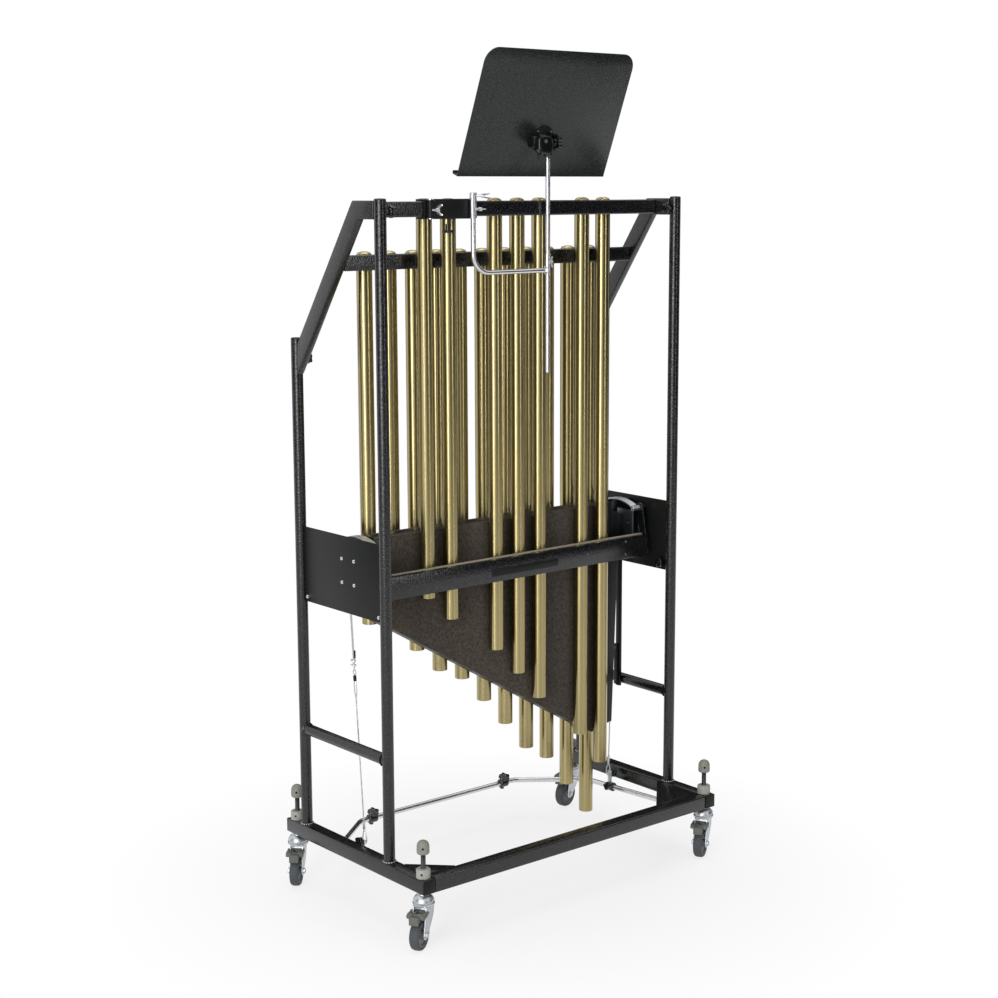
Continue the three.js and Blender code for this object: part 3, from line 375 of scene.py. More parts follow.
def plate(mesh, outline, thickness, soft, segments=2):
    """A sheet from an outline of places, given its thickness as a vector."""
    verts = [mesh.verts.new(point) for point in outline]
    face = mesh.faces.new(verts)
    face.normal_update()
    made = bmesh.ops.extrude_face_region(mesh, geom=[face])["geom"]
    moved = [item for item in made if isinstance(item, bmesh.types.BMVert)]
    bmesh.ops.translate(mesh, verts=moved, vec=thickness)
    soften(mesh, verts + moved, soft, segments)


def plate_along(mesh, x, outline, thick, soft, segments=2):
    """A sheet whose outline lies in y and z."""
    plate(mesh, [at(x, y, z) for y, z in outline], ALONG * thick, soft, segments)


def plate_back(mesh, y, outline, thick, soft):
    """A sheet whose outline lies in x and z."""
    plate(mesh, [at(x, y, z) for x, z in outline], BACK * thick, soft)


def bored(made, place, axis, radius, length):
    """Drill a finished piece."""
    reach = axis * length / 2
    mesh = bmesh.new()
    rod(mesh, place - reach, place + reach, radius, 20)
    bmesh.ops.recalc_face_normals(mesh, faces=mesh.faces)
    cutter = mesh_object("cutter", mesh)
    carve = made.modifiers.new("hole", "BOOLEAN")
    carve.object, carve.operation, carve.solver = cutter, "DIFFERENCE", "EXACT"
    graph = bpy.context.evaluated_depsgraph_get()
    carved = bpy.data.meshes.new_from_object(made.evaluated_get(graph))
    made.modifiers.clear()
    made.data = carved
    carved.set_sharp_from_angle(angle=SHARP)
    bpy.data.objects.remove(cutter)


# Fasteners, welds and knobs

def weld(mesh, place, axis, radius, width):
    """A smooth fillet weld round a tube."""
    inner = radius - 0.001
    ringed(mesh, [(inner, 0), (radius + width, 0), (radius + width * 0.55, width * 0.45),
                  (inner, width)], place, axis, 28)


def weld_beads(mesh, place, radius):
    """A ring of separate beads, as at the feet of the uprights."""
    count, bead = 14, (0.0024, 0.0038, 0.0024)
    for step in range(count):
        angle = math.tau * step / count
        centre = place + Vector((radius * math.cos(angle), radius * math.sin(angle), 0))
        shape = (Matrix.Translation(centre) @ Matrix.Rotation(angle, 4, "Z")
                 @ Matrix.Diagonal((*bead, 1)))
        bmesh.ops.create_icosphere(mesh, subdivisions=2, radius=1, matrix=shape)


def dome_screw(mesh, place, axis, radius=0.005):
    shares = ((0, 0), (1, 0), (0.98, 0.16), (0.8, 0.45), (0.42, 0.62), (0.34, 0.5), (0, 0.42))
    turned(mesh, [(radius * out, radius * rise) for out, rise in shares], place, axis, 24)


def waved_disc(mesh, place, axis, mean, wave, lobes, steps, low, high, soft, segments):
    """The grip of a knob, between two heights, with lobes round its rim."""
    turn = facing(place, axis)
    rim = []
    for step in range(lobes * steps):
        angle = math.tau * step / (lobes * steps)
        reach = mean + wave * math.cos(lobes * angle)
        rim.append(turn @ Vector((reach * math.cos(angle), reach * math.sin(angle), low)))
    plate(mesh, rim, axis * (high - low), soft, segments)


def star_knob(mesh, place, axis, radius=0.015, tall=0.014, lobes=5):
    waved_disc(mesh, place, axis, radius * 0.86, radius * 0.13, lobes, 10, tall * 0.3,
               tall * 0.92, 0.0011, 2)
    neck = [(0, 0), (radius * 0.5, 0), (radius * 0.55, tall * 0.32), (0, tall * 0.32)]
    crown = [(0, tall * 0.9), (radius * 0.36, tall * 0.9), (radius * 0.33, tall), (0, tall)]
    for profile in (neck, crown):
        turned(mesh, profile, place, axis, 24)


def knurled_knob(mesh, place, axis, radius, tall, ridges):
    for low, high, share in ((0, tall * 0.55, 1.0), (tall * 0.5, tall, 0.72)):
        waved_disc(mesh, place, axis, radius * share * 0.97, radius * share * 0.03, ridges, 4,
                   low, high, 0.0007, 1)


def wing_screw(mesh, place, axis, across, reach=0.010, spread=0.0135, tall=0.017):
    hub = place + axis * reach
    rod(mesh, place, hub, 0.003, 18)
    rod(mesh, hub, hub + axis * 0.008, 0.0048, 20, 0.001)
    side = axis.cross(across).normalized() * 0.0013
    ear = [(0.0028, 0.001), (0.0075, 0.0015), (spread * 0.82, tall * 0.45), (spread, tall * 0.78),
           (spread * 0.97, tall), (spread * 0.78, tall * 1.06), (spread * 0.6, tall * 0.86),
           (0.0045, 0.0078)]
    for sign in (-1, 1):
        plate(mesh, [hub + across * sign * u + axis * w - side for u, w in ear], side * 2, 0.0009)


# Base, uprights and crossbars
UPRIGHT = 0.014
FRONT_Y, REAR_Y = 0.157, 0.508
UPRIGHT_TOPS = {FRONT_Y: side_right[1].z - RAIL_TOP, REAR_Y: 1.228}
BETWEEN_UPRIGHTS = (FRONT_Y + UPRIGHT + FIT, REAR_Y - UPRIGHT - FIT)
CROSS_Z = 0.249
CASTER_YS = {"front": 0.024, "rear": DEPTH - 0.024}
CAP = 0.003
UPRIGHT_CAP = [(0, -0.004), (0.0125, -0.004), (0.0125, -0.002), (0.0135, -0.002),
               (0.012, -0.0006), (0, 0)]
COLLAR, COLLAR_HEIGHT, COLLAR_BORE = 0.017, 0.022, 0.0065
LOCK_COLLAR = [(COLLAR_BORE, 0), (COLLAR, 0), (COLLAR, COLLAR_HEIGHT - 0.003),
               (COLLAR - 0.001, COLLAR_HEIGHT - 0.001), (COLLAR - 0.004, COLLAR_HEIGHT),
               (COLLAR_BORE, COLLAR_HEIGHT)]
CROSS_HOLE = 0.003, 0.06  # radius and length of the cross hole in a collar or cap
GUSSET, GUSSET_LEGS = 0.004, {1: 0.145, -1: 0.085}
PEDAL_PIVOT_Y, PEDAL_PIVOT_Z = 0.097, -0.041
BRACKET, BRACKET_REACH, BRACKET_DROP = 0.008, 0.014, 0.012
# The stay's strap, upper pad and lower clip as ranges with their softness, and its bolts
STAY = (((0.445, 0.454), (0.329, 0.344), (0.232, 0.640), 0.0012),
        ((0.446, 0.4559), (0.3295, 0.3435), (0.604, 0.6395), 0.001),
        ((0.441, 0.4455), (0.333, 0.347), (0.236, 0.350), 0.0012))
STAY_BOLTS = ((0.446, 0.3365, 0.613, 0.0035), (0.446, 0.3365, 0.630, 0.0035),
              (0.441, 0.340, 0.247, 0.0032), (0.441, 0.340, 0.339, 0.0032))


def side_frame(side):
    sign = SIDES[side]
    x = sign * FRAME_X
    mesh, beads, caps = meshes(3)
    block(mesh, (x - RAIL / 2, x + RAIL / 2), (CAP, DEPTH - CAP), (-RAIL, 0), 0.004, 3)
    for y, top in UPRIGHT_TOPS.items():
        rod(mesh, at(x, y, -0.001), at(x, y, top - 0.002), UPRIGHT, 40, 0.001)
        weld_beads(beads, at(x, y, 0.0012), UPRIGHT + 0.001)
    rod(mesh, at(x, FRONT_Y, CROSS_Z), at(x, REAR_Y, CROSS_Z), UPRIGHT, 40)
    weld(mesh, at(x, FRONT_Y + UPRIGHT - 0.001, CROSS_Z), BACK, UPRIGHT, 0.003)
    weld(mesh, at(x, REAR_Y - UPRIGHT + 0.001, CROSS_Z), -BACK, UPRIGHT, 0.003)
    block(mesh, (sign * RAIL_INNER, sign * (RAIL_INNER + BRACKET)),
          (PEDAL_PIVOT_Y - BRACKET_REACH, PEDAL_PIVOT_Y + BRACKET_REACH),
          (PEDAL_PIVOT_Z - BRACKET_DROP, -RAIL + 0.002), 0.001)
    piece(f"welded_side_{side}", mesh, ENAMEL, stands_for=[f"side_frame_{side}"])
    piece(f"weld_beads_{side}", beads, BEAD)
    inset = RAIL / 2 - 0.001
    for y in ((0, CAP), (DEPTH - CAP, DEPTH)):
        block(caps, (x - inset, x + inset), y, (-RAIL + 0.001, -0.001), 0.001)
    for y, top in UPRIGHT_TOPS.items():
        turned(caps, UPRIGHT_CAP, at(x, y, top), UP, 32)
    piece(f"end_caps_{side}", caps, BLACK)
    for end, y in CASTER_YS.items():
        lock = bmesh.new()
        ringed(lock, LOCK_COLLAR, at(x, y, 0.0002), UP, 40)
        made = piece(f"lock_collar_{end}_{side}", lock, PALE)
        hole_axis = Vector((0.77 * sign, -0.64, 0)).normalized()
        bored(made, at(x, y, COLLAR_HEIGHT / 2), hole_axis, *CROSS_HOLE)


def stay():
    """The strap from the right side plate down to the crossbar."""
    mesh, bolts = meshes(2)
    for ranges in STAY:
        block(mesh, *ranges)
    piece("stay", mesh, BLACK)
    for x, y, z, radius in STAY_BOLTS:
        dome_screw(bolts, at(x, y, z), -ALONG, radius)
    piece("stay_bolts", bolts, STEEL)


def base():
    rail = bmesh.new()
    end = RAIL_INNER - FIT
    block(rail, (-end, end), (0, RAIL), (-RAIL, 0), 0.0035, 3)
    for sign, leg in GUSSET_LEGS.items():
        corner = ((end, RAIL - 0.002), (end - leg, RAIL - 0.002), (end - leg, RAIL + 0.001),
                  (end, RAIL + leg))
        plate(rail, [at(sign * x, y, -GUSSET) for x, y in corner], UP * GUSSET, 0.0008)
    piece("front_rail_and_gussets", rail, ENAMEL, stands_for=["front_rail"])


# Levelling spindles: (radius, height) above the rail
SPINDLE_CAP = [(0, 0.058), (0.0128, 0.058), (0.0150, 0.0605), (0.0152, 0.066), (0.0150, 0.077),
               (0.0140, 0.0815), (0.0120, 0.0855), (0.0090, 0.0885), (0.0050, 0.0903), (0, 0.0908)]
THREAD, THREAD_DEPTH, THREAD_PITCH, THREAD_FOOT, THREAD_TOP = 0.006, 0.0008, 0.00175, -0.059, 0.0585


def spindle(corner, x, y):
    screw, cap = meshes(2)
    thread = [(0, -0.06)]
    for turn in range(int((THREAD_TOP - THREAD_FOOT) / THREAD_PITCH)):
        low = THREAD_FOOT + turn * THREAD_PITCH
        thread += [(THREAD - THREAD_DEPTH, low), (THREAD, low + THREAD_PITCH / 2)]
    turned(screw, [*thread, (0, THREAD_TOP)], at(x, y, 0), UP, 24)
    piece(f"levelling_screw_{corner}", screw, STEEL, f"spindle_{corner}", [f"spindle_{corner}"])
    turned(cap, SPINDLE_CAP, at(x, y, 0), UP, 40)
    made = piece(f"levelling_cap_{corner}", cap, CAP_GREY, f"spindle_{corner}")
    bored(made, at(x, y, 0.073), Vector((-0.64, -0.77, 0)).normalized(), *CROSS_HOLE)


# Casters: outlines in (v, w), with v ahead of the swivel and w above the floor. The wheel trails.
TRAIL, WHEEL, TREAD = 0.028, 0.0375, 0.012
HEADINGS = {"front_left": -60, "front_right": -60, "rear_left": -45, "rear_right": -75}
SWIVEL_DOME = [(0.0065, 0.101), (0.024, 0.101), (0.0262, 0.1025), (0.0262, 0.1065),
               (0.0235, 0.108), (0.0235, 0.1105), (0.0255, 0.1115), (0.0245, 0.1165),
               (0.0205, 0.1215), (0.0145, 0.1262), (0.013, 0.1305), (0.0065, 0.1305)]
CHEEK_INNER, CHEEK_OUTER = 0.0145, 0.0175
FORK_CHEEK = [(-0.025, 0.1035), (-0.0375, 0.045), (-0.0395, 0.038), (-0.0385, 0.0315),
              (-0.0345, 0.0275), (-0.028, 0.0262), (-0.0215, 0.0275), (-0.0165, 0.032),
              (-0.005, 0.046), (0.008, 0.060), (0.0170, 0.0725), (0.0212, 0.084),
              (0.0219, 0.094), (0.0219, 0.1035)]
CROWN_BACK, CROWN_AHEAD, CROWN_LOW, CROWN = -0.024, 0.0218, 0.1005, 0.003
AXLE_HEAD = (([(0, 0), (0.0085, 0), (0.0085, 0.0008), (0, 0.0008)], 24),
             ([(0, 0.0008), (0.0068, 0.0008), (0.0068, 0.0044), (0.0058, 0.0052), (0, 0.0052)], 6),
             ([(0, 0.0052), (0.0036, 0.0052), (0.0032, 0.0064), (0, 0.0064)], 16))
TYRE = [(0.0285, TREAD - 0.0008), (0.0335, TREAD - 0.0002), (0.0355, TREAD - 0.0018),
        (0.0372, 0.0062), (WHEEL, 0)]
HUB_FACE = [(0.0044, TREAD), (0.0095, TREAD), (0.0105, TREAD - 0.001), (0.0115, TREAD - 0.0045),
            (0.0245, TREAD - 0.0045), (0.0255, TREAD - 0.0015), (0.0284, TREAD - 0.001)]
LEVER_WIDE, LEVER_NARROW = 0.0219, 0.0138
# The parts of half a brake lever: start and end across, softness, outline
LEVER_PARTS = (
    (0.0072, 0.0120, 0.001, [(-0.0632, 0.0835), (-0.0632, 0.0890), (-0.041, 0.0928),
                             (-0.041, 0.0842)]),
    (0.0085, LEVER_WIDE, 0.0012, [(-0.0530, 0.0835), (-0.0542, 0.0885), (-0.0525, 0.0915),
                                  (-0.043, 0.0945), (-0.041, 0.0925), (-0.041, 0.0840),
                                  (-0.047, 0.0805)]),
    (LEVER_WIDE - 0.006, LEVER_WIDE - 0.0005, 0.0011,
     [(-0.046, 0.0820), (-0.046, 0.0935), (-0.024, 0.0960), (-0.021, 0.0930), (-0.024, 0.0840)]),
    (0.0065, LEVER_NARROW, 0.001, [(-0.0430, 0.0825), (-0.0430, 0.0898), (-0.012, 0.0912),
                                   (-0.0068, 0.086), (-0.012, 0.0808)]))
LEVER_TREADS = ((-0.0635, -0.0565, 0.0845), (-0.0485, -0.0415, 0.0855))
BRAKE_SHOE = [(-0.0632, 0.0710), (-0.0632, 0.0845), (-0.0470, 0.0865), (-0.0470, 0.0775),
              (-0.0530, 0.0760), (-0.0570, 0.0710)]


def caster(corner, x, y):
    floor = at(x, y, 0)
    floor.z = 0
    turn = Matrix.Translation(floor) @ Matrix.Rotation(math.radians(HEADINGS[corner]), 4, "Z")
    across = turn.to_3x3() @ ALONG
    fork, wheel, brake = f"fork_{corner}", f"wheel_{corner}", f"brake_{corner}"

    def spot(u, v, w):
        return turn @ Vector((u, v, w))

    def cheek(mesh, start, end, outline, soft):
        plate(mesh, [spot(start, v, w) for v, w in outline], across * (end - start), soft)

    dome, legs, bolt, pin = meshes(4)
    ringed(dome, SWIVEL_DOME, floor, UP, 48)
    piece(f"swivel_dome_{corner}", dome, ZINC, fork, [f"caster_fork_{corner}"])
    for sign in (-1, 1):
        cheek(legs, sign * CHEEK_INNER, sign * CHEEK_OUTER, FORK_CHEEK, 0.0009)
    crown = ((-1, CROWN_BACK), (1, CROWN_BACK), (1, CROWN_AHEAD), (-1, CROWN_AHEAD))
    plate(legs, [spot(sign * CHEEK_OUTER, v, CROWN_LOW) for sign, v in crown], UP * CROWN, 0.001)
    piece(f"fork_legs_{corner}", legs, ZINC, fork)
    axle = spot(0, -TRAIL, WHEEL)
    for sign in (-1, 1):
        for profile, sides in AXLE_HEAD:
            turned(bolt, profile, axle + across * sign * CHEEK_OUTER, across * sign, sides)
    rod(bolt, axle - across * CHEEK_OUTER, axle + across * CHEEK_OUTER, 0.0039, 20)
    piece(f"axle_bolt_{corner}", bolt, ZINC, fork)
    pivot = spot(0, -0.012, 0.086)
    rod(pin, pivot - across * 0.0186, pivot + across * 0.0186, 0.0025, 16, 0.0005)
    piece(f"brake_pin_{corner}", pin, STEEL, fork)

    tyre, hub, lever = meshes(3)
    mirrored = [(radius, -height) for radius, height in reversed(TYRE[:-1])]
    ringed(tyre, [*TYRE, *mirrored], axle, across, 64)
    piece(f"tyre_{corner}", tyre, RUBBER, wheel, [f"caster_wheel_{corner}"])
    mirrored = [(radius, -height) for radius, height in reversed(HUB_FACE)]
    ringed(hub, [*HUB_FACE, *mirrored], axle, across, 64)
    piece(f"hub_{corner}", hub, HUB, wheel)

    for sign in (-1, 1):
        for start, end, soft, outline in LEVER_PARTS:
            cheek(lever, sign * start, sign * end, outline, soft)
    for back, ahead, rise in LEVER_TREADS:
        tread = [(back, rise - 0.001), (back, rise + 0.0045), (ahead, rise + 0.0066),
                 (ahead, rise - 0.001)]
        cheek(lever, -0.0095, 0.0095, tread, 0.0008)
    cheek(lever, -0.0115, 0.0115, BRAKE_SHOE, 0.001)
    rod(lever, pivot - across * LEVER_NARROW, pivot + across * LEVER_NARROW, 0.0055, 24, 0.0006)
    piece(f"brake_lever_{corner}", lever, GREY, brake, [f"caster_brake_{corner}"])


# Side plates with their screws
PLATE_LOW, PLATE_HIGH, PLATE_HALF = 0.579, 0.766, 0.0015
PLATE_INNER = FRAME_X - PLATE_HALF - FIT
PIVOT_Y, PIVOT_Z = 0.306, 0.681
CORNER_INSET, BEARING_SCREW_Y, BEARING_SCREW_Z = 0.012, 0.025, 0.029


def side_plate(side):
    sign = SIDES[side]
    sheet, screws, corners = meshes(3)
    x, face = sign * FRAME_X, sign * (FRAME_X + PLATE_HALF)
    low, high = BETWEEN_UPRIGHTS
    block(sheet, (x - PLATE_HALF, x + PLATE_HALF), (low, high), (PLATE_LOW, PLATE_HIGH), 0.0007)
    piece(f"plate_{side}", sheet, BLACK, stands_for=[f"side_plate_{side}"])
    for y in (PIVOT_Y - BEARING_SCREW_Y, PIVOT_Y + BEARING_SCREW_Y):
        for z in (PIVOT_Z - BEARING_SCREW_Z, PIVOT_Z + BEARING_SCREW_Z):
            dome_screw(screws, at(face, y, z), ALONG * sign)
    piece(f"bearing_screws_{side}", screws, CHROME)
    for y in (low + CORNER_INSET, high - CORNER_INSET):
        dome_screw(corners, at(face, y, PLATE_LOW + CORNER_INSET), ALONG * sign)
    piece(f"corner_screws_{side}", corners, CHROME)


# Sloping arms with their clamping knobs
ARM_TOP, ARM_CORNER_Y, ARM_END, ARM_DEPTH, ARM_HALF = 1.555, 0.254, 1.212, 0.042, 0.010
KNOBS = ((FRONT_Y, 1.530), (REAR_Y, 1.176))


def slope_arm(side):
    sign = SIDES[side]
    low, high = BETWEEN_UPRIGHTS
    angle = math.atan((ARM_TOP - ARM_END) / (high - ARM_CORNER_Y))
    inset, drop = ARM_DEPTH * math.tan(angle / 2), ARM_DEPTH / math.cos(angle)
    underside = ARM_TOP - ARM_DEPTH
    outline = [(low, underside), (ARM_CORNER_Y - inset, underside), (high, ARM_END - drop),
               (high, ARM_END), (ARM_CORNER_Y, ARM_TOP), (low, ARM_TOP)]
    mesh, knobs = meshes(2)
    plate_along(mesh, sign * FRAME_X - ARM_HALF, outline, 2 * ARM_HALF, 0.003, 3)
    piece(f"sloping_arm_{side}", mesh, ENAMEL, stands_for=[f"slope_arm_{side}"])
    inward = ALONG * -sign
    for y, z in KNOBS:
        start = at(sign * (FRAME_X - UPRIGHT + 0.001), y, z)
        rod(knobs, start, start + inward * 0.012, 0.004, 20)
        star_knob(knobs, start + inward * 0.011, inward)
    piece(f"clamp_knobs_{side}", knobs, GLOSS)


# Beams, the tubes and the pins they hang on. A beam is its front face and its top.
BEAM, BEAM_DEPTH = 0.036, 0.028
BEAMS = {"upper": (0.218, 1.552), "lower": (0.312, 1.428)}
TUBE, TUBE_WALL, PITCH = 0.019, 0.0015, 0.072
LONGEST, SEMITONE = 1.546, 0.969
PROUD, PIN_DROP, STANDOFF, PIN, PIN_REACH = 0.007, 0.024, 0.002, 0.003, 0.008
HUNG = {row: front + BEAM_DEPTH + STANDOFF for row, (front, top) in BEAMS.items()}
# Semitones above the lowest tube; a sharp has its place along the row too
NATURALS = {"c5": 0, "d5": 2, "e5": 4, "f5": 5, "g5": 7, "a5": 9, "b5": 11, "c6": 12, "d6": 14,
            "e6": 16, "f6": 17}
SHARPS = {"c_sharp5": (1, 0), "d_sharp5": (3, 1), "f_sharp5": (6, 3), "g_sharp5": (8, 4),
          "a_sharp5": (10, 5), "c_sharp6": (13, 7), "d_sharp6": (15, 8)}
FIRST_X = -0.008 + PITCH * (len(NATURALS) - 1) / 2
ROWS = {"lower": [(name, note, FIRST_X - place * PITCH)
                  for place, (name, note) in enumerate(NATURALS.items())],
        "upper": [(name, note, FIRST_X - (place + 0.5) * PITCH)
                  for name, (note, place) in SHARPS.items()]}
TUBE_CAP = [(0, 0), (0.006, -0.0002), (0.0105, -0.0010), (0.0140, -0.0024), (0.0165, -0.0044),
            (0.0175, -0.0062), (0.0176, -0.0075), (0.0184, -0.0078), (TUBE, -0.0086)]


def tube(name, x, y, top, semitones):
    length, bore = LONGEST * SEMITONE ** semitones, TUBE - TUBE_WALL
    wall = [(TUBE, -share * length) for share in (0.25, 0.5, 0.75)]
    mouth = [(TUBE, 0.0006 - length), (TUBE - 0.0005, -length), (bore + 0.0003, -length),
             (bore, 0.0004 - length)]
    inside = [(bore, -0.030), (bore, -0.012), (0, -0.012)]
    mesh = bmesh.new()
    turned(mesh, [*TUBE_CAP, *wall, *mouth, *inside], at(x, y, top), UP, 56)
    piece(f"bell_{name}", mesh, BRASS, stands_for=[f"tube_{name}"])


def beam(row):
    front, top = BEAMS[row]
    end, back = FRAME_X - ARM_HALF - FIT, front + BEAM_DEPTH
    mesh, pins = meshes(2)
    block(mesh, (-end, end), (front, back), (top - BEAM, top), 0.0035, 3)
    piece(f"beam_{row}", mesh, ENAMEL, stands_for=[f"{row}_beam"])
    pin_z = top + PROUD - PIN_DROP
    for name, semitones, x in ROWS[row]:
        rod(pins, at(x, back - 0.001, pin_z), at(x, HUNG[row] + PIN_REACH, pin_z), PIN, 20, 0.0006)
    piece(f"hanging_pins_{row}", pins, CHROME)
    for name, semitones, x in ROWS[row]:
        tube(name, x, HUNG[row] + TUBE, top + PROUD, semitones)


# Damper board and bars
TUBE_FACE = {"front": HUNG["upper"], "rear": HUNG["lower"] + 2 * TUBE}
BOARD_LEFT, BOARD_TOP, SKIN = -0.400, 0.757, 0.010
BOARD_FOOT = [(BOARD_LEFT, 0.554), (0.305, 0.1375), (0.345, 0.148), (0.377, 0.148), (0.380, 0.600)]
BOARD_TABS, TAB_Y, TAB_Z = ((-0.4147, -0.396), (0.376, 0.4147)), (0.292, 0.336), (0.655, 0.720)
FELT_RIGHT = 0.343
BARE_INSET = 0.007
BARE_END = [(FELT_RIGHT + 0.001, 0.151), (0.384, 0.151), (0.404, 0.625), (0.404, 0.725),
            (FELT_RIGHT + 0.001, 0.753)]
BAR_HALF, BAR_HEIGHT, BAR_DEPTH, FELT_PROUD = 0.441, 0.056, 0.016, 0.0125
BAR_LOW = {"front": 0.616, "rear": 0.664}
HANGER = 0.0045
JAW_Z, JAW_Y = 0.741, {"front": 0.252, "rear": 0.384}
BAR_SCREWS = ((-0.270, 0.012), (-0.270, 0.048), (0.225, 0.030), (0.361, 0.012), (0.361, 0.046))
NAMEPLATE_X, NAMEPLATE_HALF, NAMEPLATE_RISE, NAMEPLATE_TALL = 0.014, 0.109, 0.024, 0.0095


def damper_board():
    low, high = TUBE_FACE["front"] + 2 * TUBE + FIT, TUBE_FACE["rear"] - 2 * TUBE - FIT
    core, cover = meshes(2)
    outline = [*BOARD_FOOT, (0.380, BOARD_TOP), (BOARD_LEFT, BOARD_TOP)]
    plate_back(core, low + SKIN, outline, high - low - 2 * SKIN, 0.001)
    for x in BOARD_TABS:
        block(core, x, TAB_Y, TAB_Z, 0.001)
    piece("damper_board_core", core, BLACK, stands_for=["damper_board"])
    plate_back(cover, low + BARE_INSET, BARE_END, high - low - 2 * BARE_INSET, 0.001)
    piece("board_bare_end", cover, BLACK)
    outline = [*BOARD_FOOT[:2], (0.335, 0.145), (FELT_RIGHT, 0.148), (FELT_RIGHT, BOARD_TOP),
               (BOARD_LEFT, BOARD_TOP)]
    for row, start in (("front", low), ("rear", high - SKIN)):
        sheet = bmesh.new()
        plate_back(sheet, start, outline, SKIN, 0.0012)
        made = piece(f"board_felt_{row}", sheet, FELT)


def damper_bar(row):
    inward = 1 if row == "front" else -1
    face = TUBE_FACE[row] - inward * FIT
    mouth = face - inward * FELT_PROUD
    back = mouth - inward * BAR_DEPTH
    low, body = BAR_LOW[row], f"{row}_damper"
    bar, hangers, strip, screws = meshes(4)
    block(bar, (-BAR_HALF, BAR_HALF), (back, mouth - inward * 0.0005), (low, low + BAR_HEIGHT),
          0.0012)
    middle, pivot = (mouth + back) / 2, JAW_Y[row]
    hanger = [(middle - 0.010, low + 0.004), (middle + inward * 0.004 + 0.010, low),
              (middle + 0.014, low + 0.006), (pivot + 0.015, JAW_Z - 0.006),
              (pivot + 0.0125, JAW_Z + 0.009), (pivot, JAW_Z + 0.013),
              (pivot - 0.0105, JAW_Z + 0.009), (pivot - 0.0135, JAW_Z - 0.006)]
    for sign in (-1, 1):
        plate_along(hangers, sign * BAR_HALF, hanger, sign * HANGER, 0.0012)
    piece(f"bar_{row}", bar, ENAMEL, body, [f"damper_bar_{row}"])
    piece(f"bar_hangers_{row}", hangers, GLOSS, body)
    block(strip, (-BAR_HALF + 0.004, BAR_HALF - 0.004), (mouth - inward * 0.0006, face),
          (low + 0.001, low + BAR_HEIGHT + 0.0015), 0.0018, 3)
    made = piece(f"bar_felt_{row}", strip, PALE_FELT, body, [f"damper_felt_{row}"])
    for x, rise in BAR_SCREWS:
        dome_screw(screws, at(x, back, low + rise), BACK * -inward, 0.0035)
    for sign in (-1, 1):
        dome_screw(screws, at(sign * (BAR_HALF + HANGER), pivot, JAW_Z), ALONG * sign, 0.006)
    piece(f"bar_screws_{row}", screws, STEEL, body)
    if row == "front":
        blank_plate = bmesh.new()
        z = low + NAMEPLATE_RISE
        block(blank_plate, (NAMEPLATE_X - NAMEPLATE_HALF, NAMEPLATE_X + NAMEPLATE_HALF),
              (back - 0.0008, back + 0.0005), (z - NAMEPLATE_TALL, z + NAMEPLATE_TALL), 0.0003)
        piece("blank_nameplate", blank_plate, BLACK, body)


# Bearings of the damper: block, bar stop, hanging plate, arched strap, nuts and pins
YOKE_INNER, YOKE_PLATE, BEARING = 0.415, 0.004, 0.009
BEARING_Y, BEARING_Z = (0.268, 0.344), (0.600, 0.740)
WEB_Y, WEB_Z = (0.308, 0.328), (0.716, 0.7572)
HANGING_Y, HANGING_Z, HANGING_HOLES = (0.250, 0.312), (0.640, 0.736), (0.662, 0.700)
NUT_END = 0.438
STRAP_RISE, STRAP, STRAP_WIDTH = 0.018, 0.004, 0.023
STOP_Y, STOP_Z = 0.1885, 0.599


def arch_strap():
    """The outline of the strap: two arcs through the pivots of both bars."""
    half_span, middle = (JAW_Y["rear"] - JAW_Y["front"]) / 2, (JAW_Y["rear"] + JAW_Y["front"]) / 2
    radius = (half_span ** 2 + STRAP_RISE ** 2) / (2 * STRAP_RISE)
    sweep, top = math.asin(half_span / radius), math.pi / 2
    centre = (middle, JAW_Z + STRAP_RISE - radius)
    return (arc(centre, radius + STRAP / 2, top + sweep, top - sweep, 20)
            + arc(centre, radius - STRAP / 2, top - sweep, top + sweep, 20))


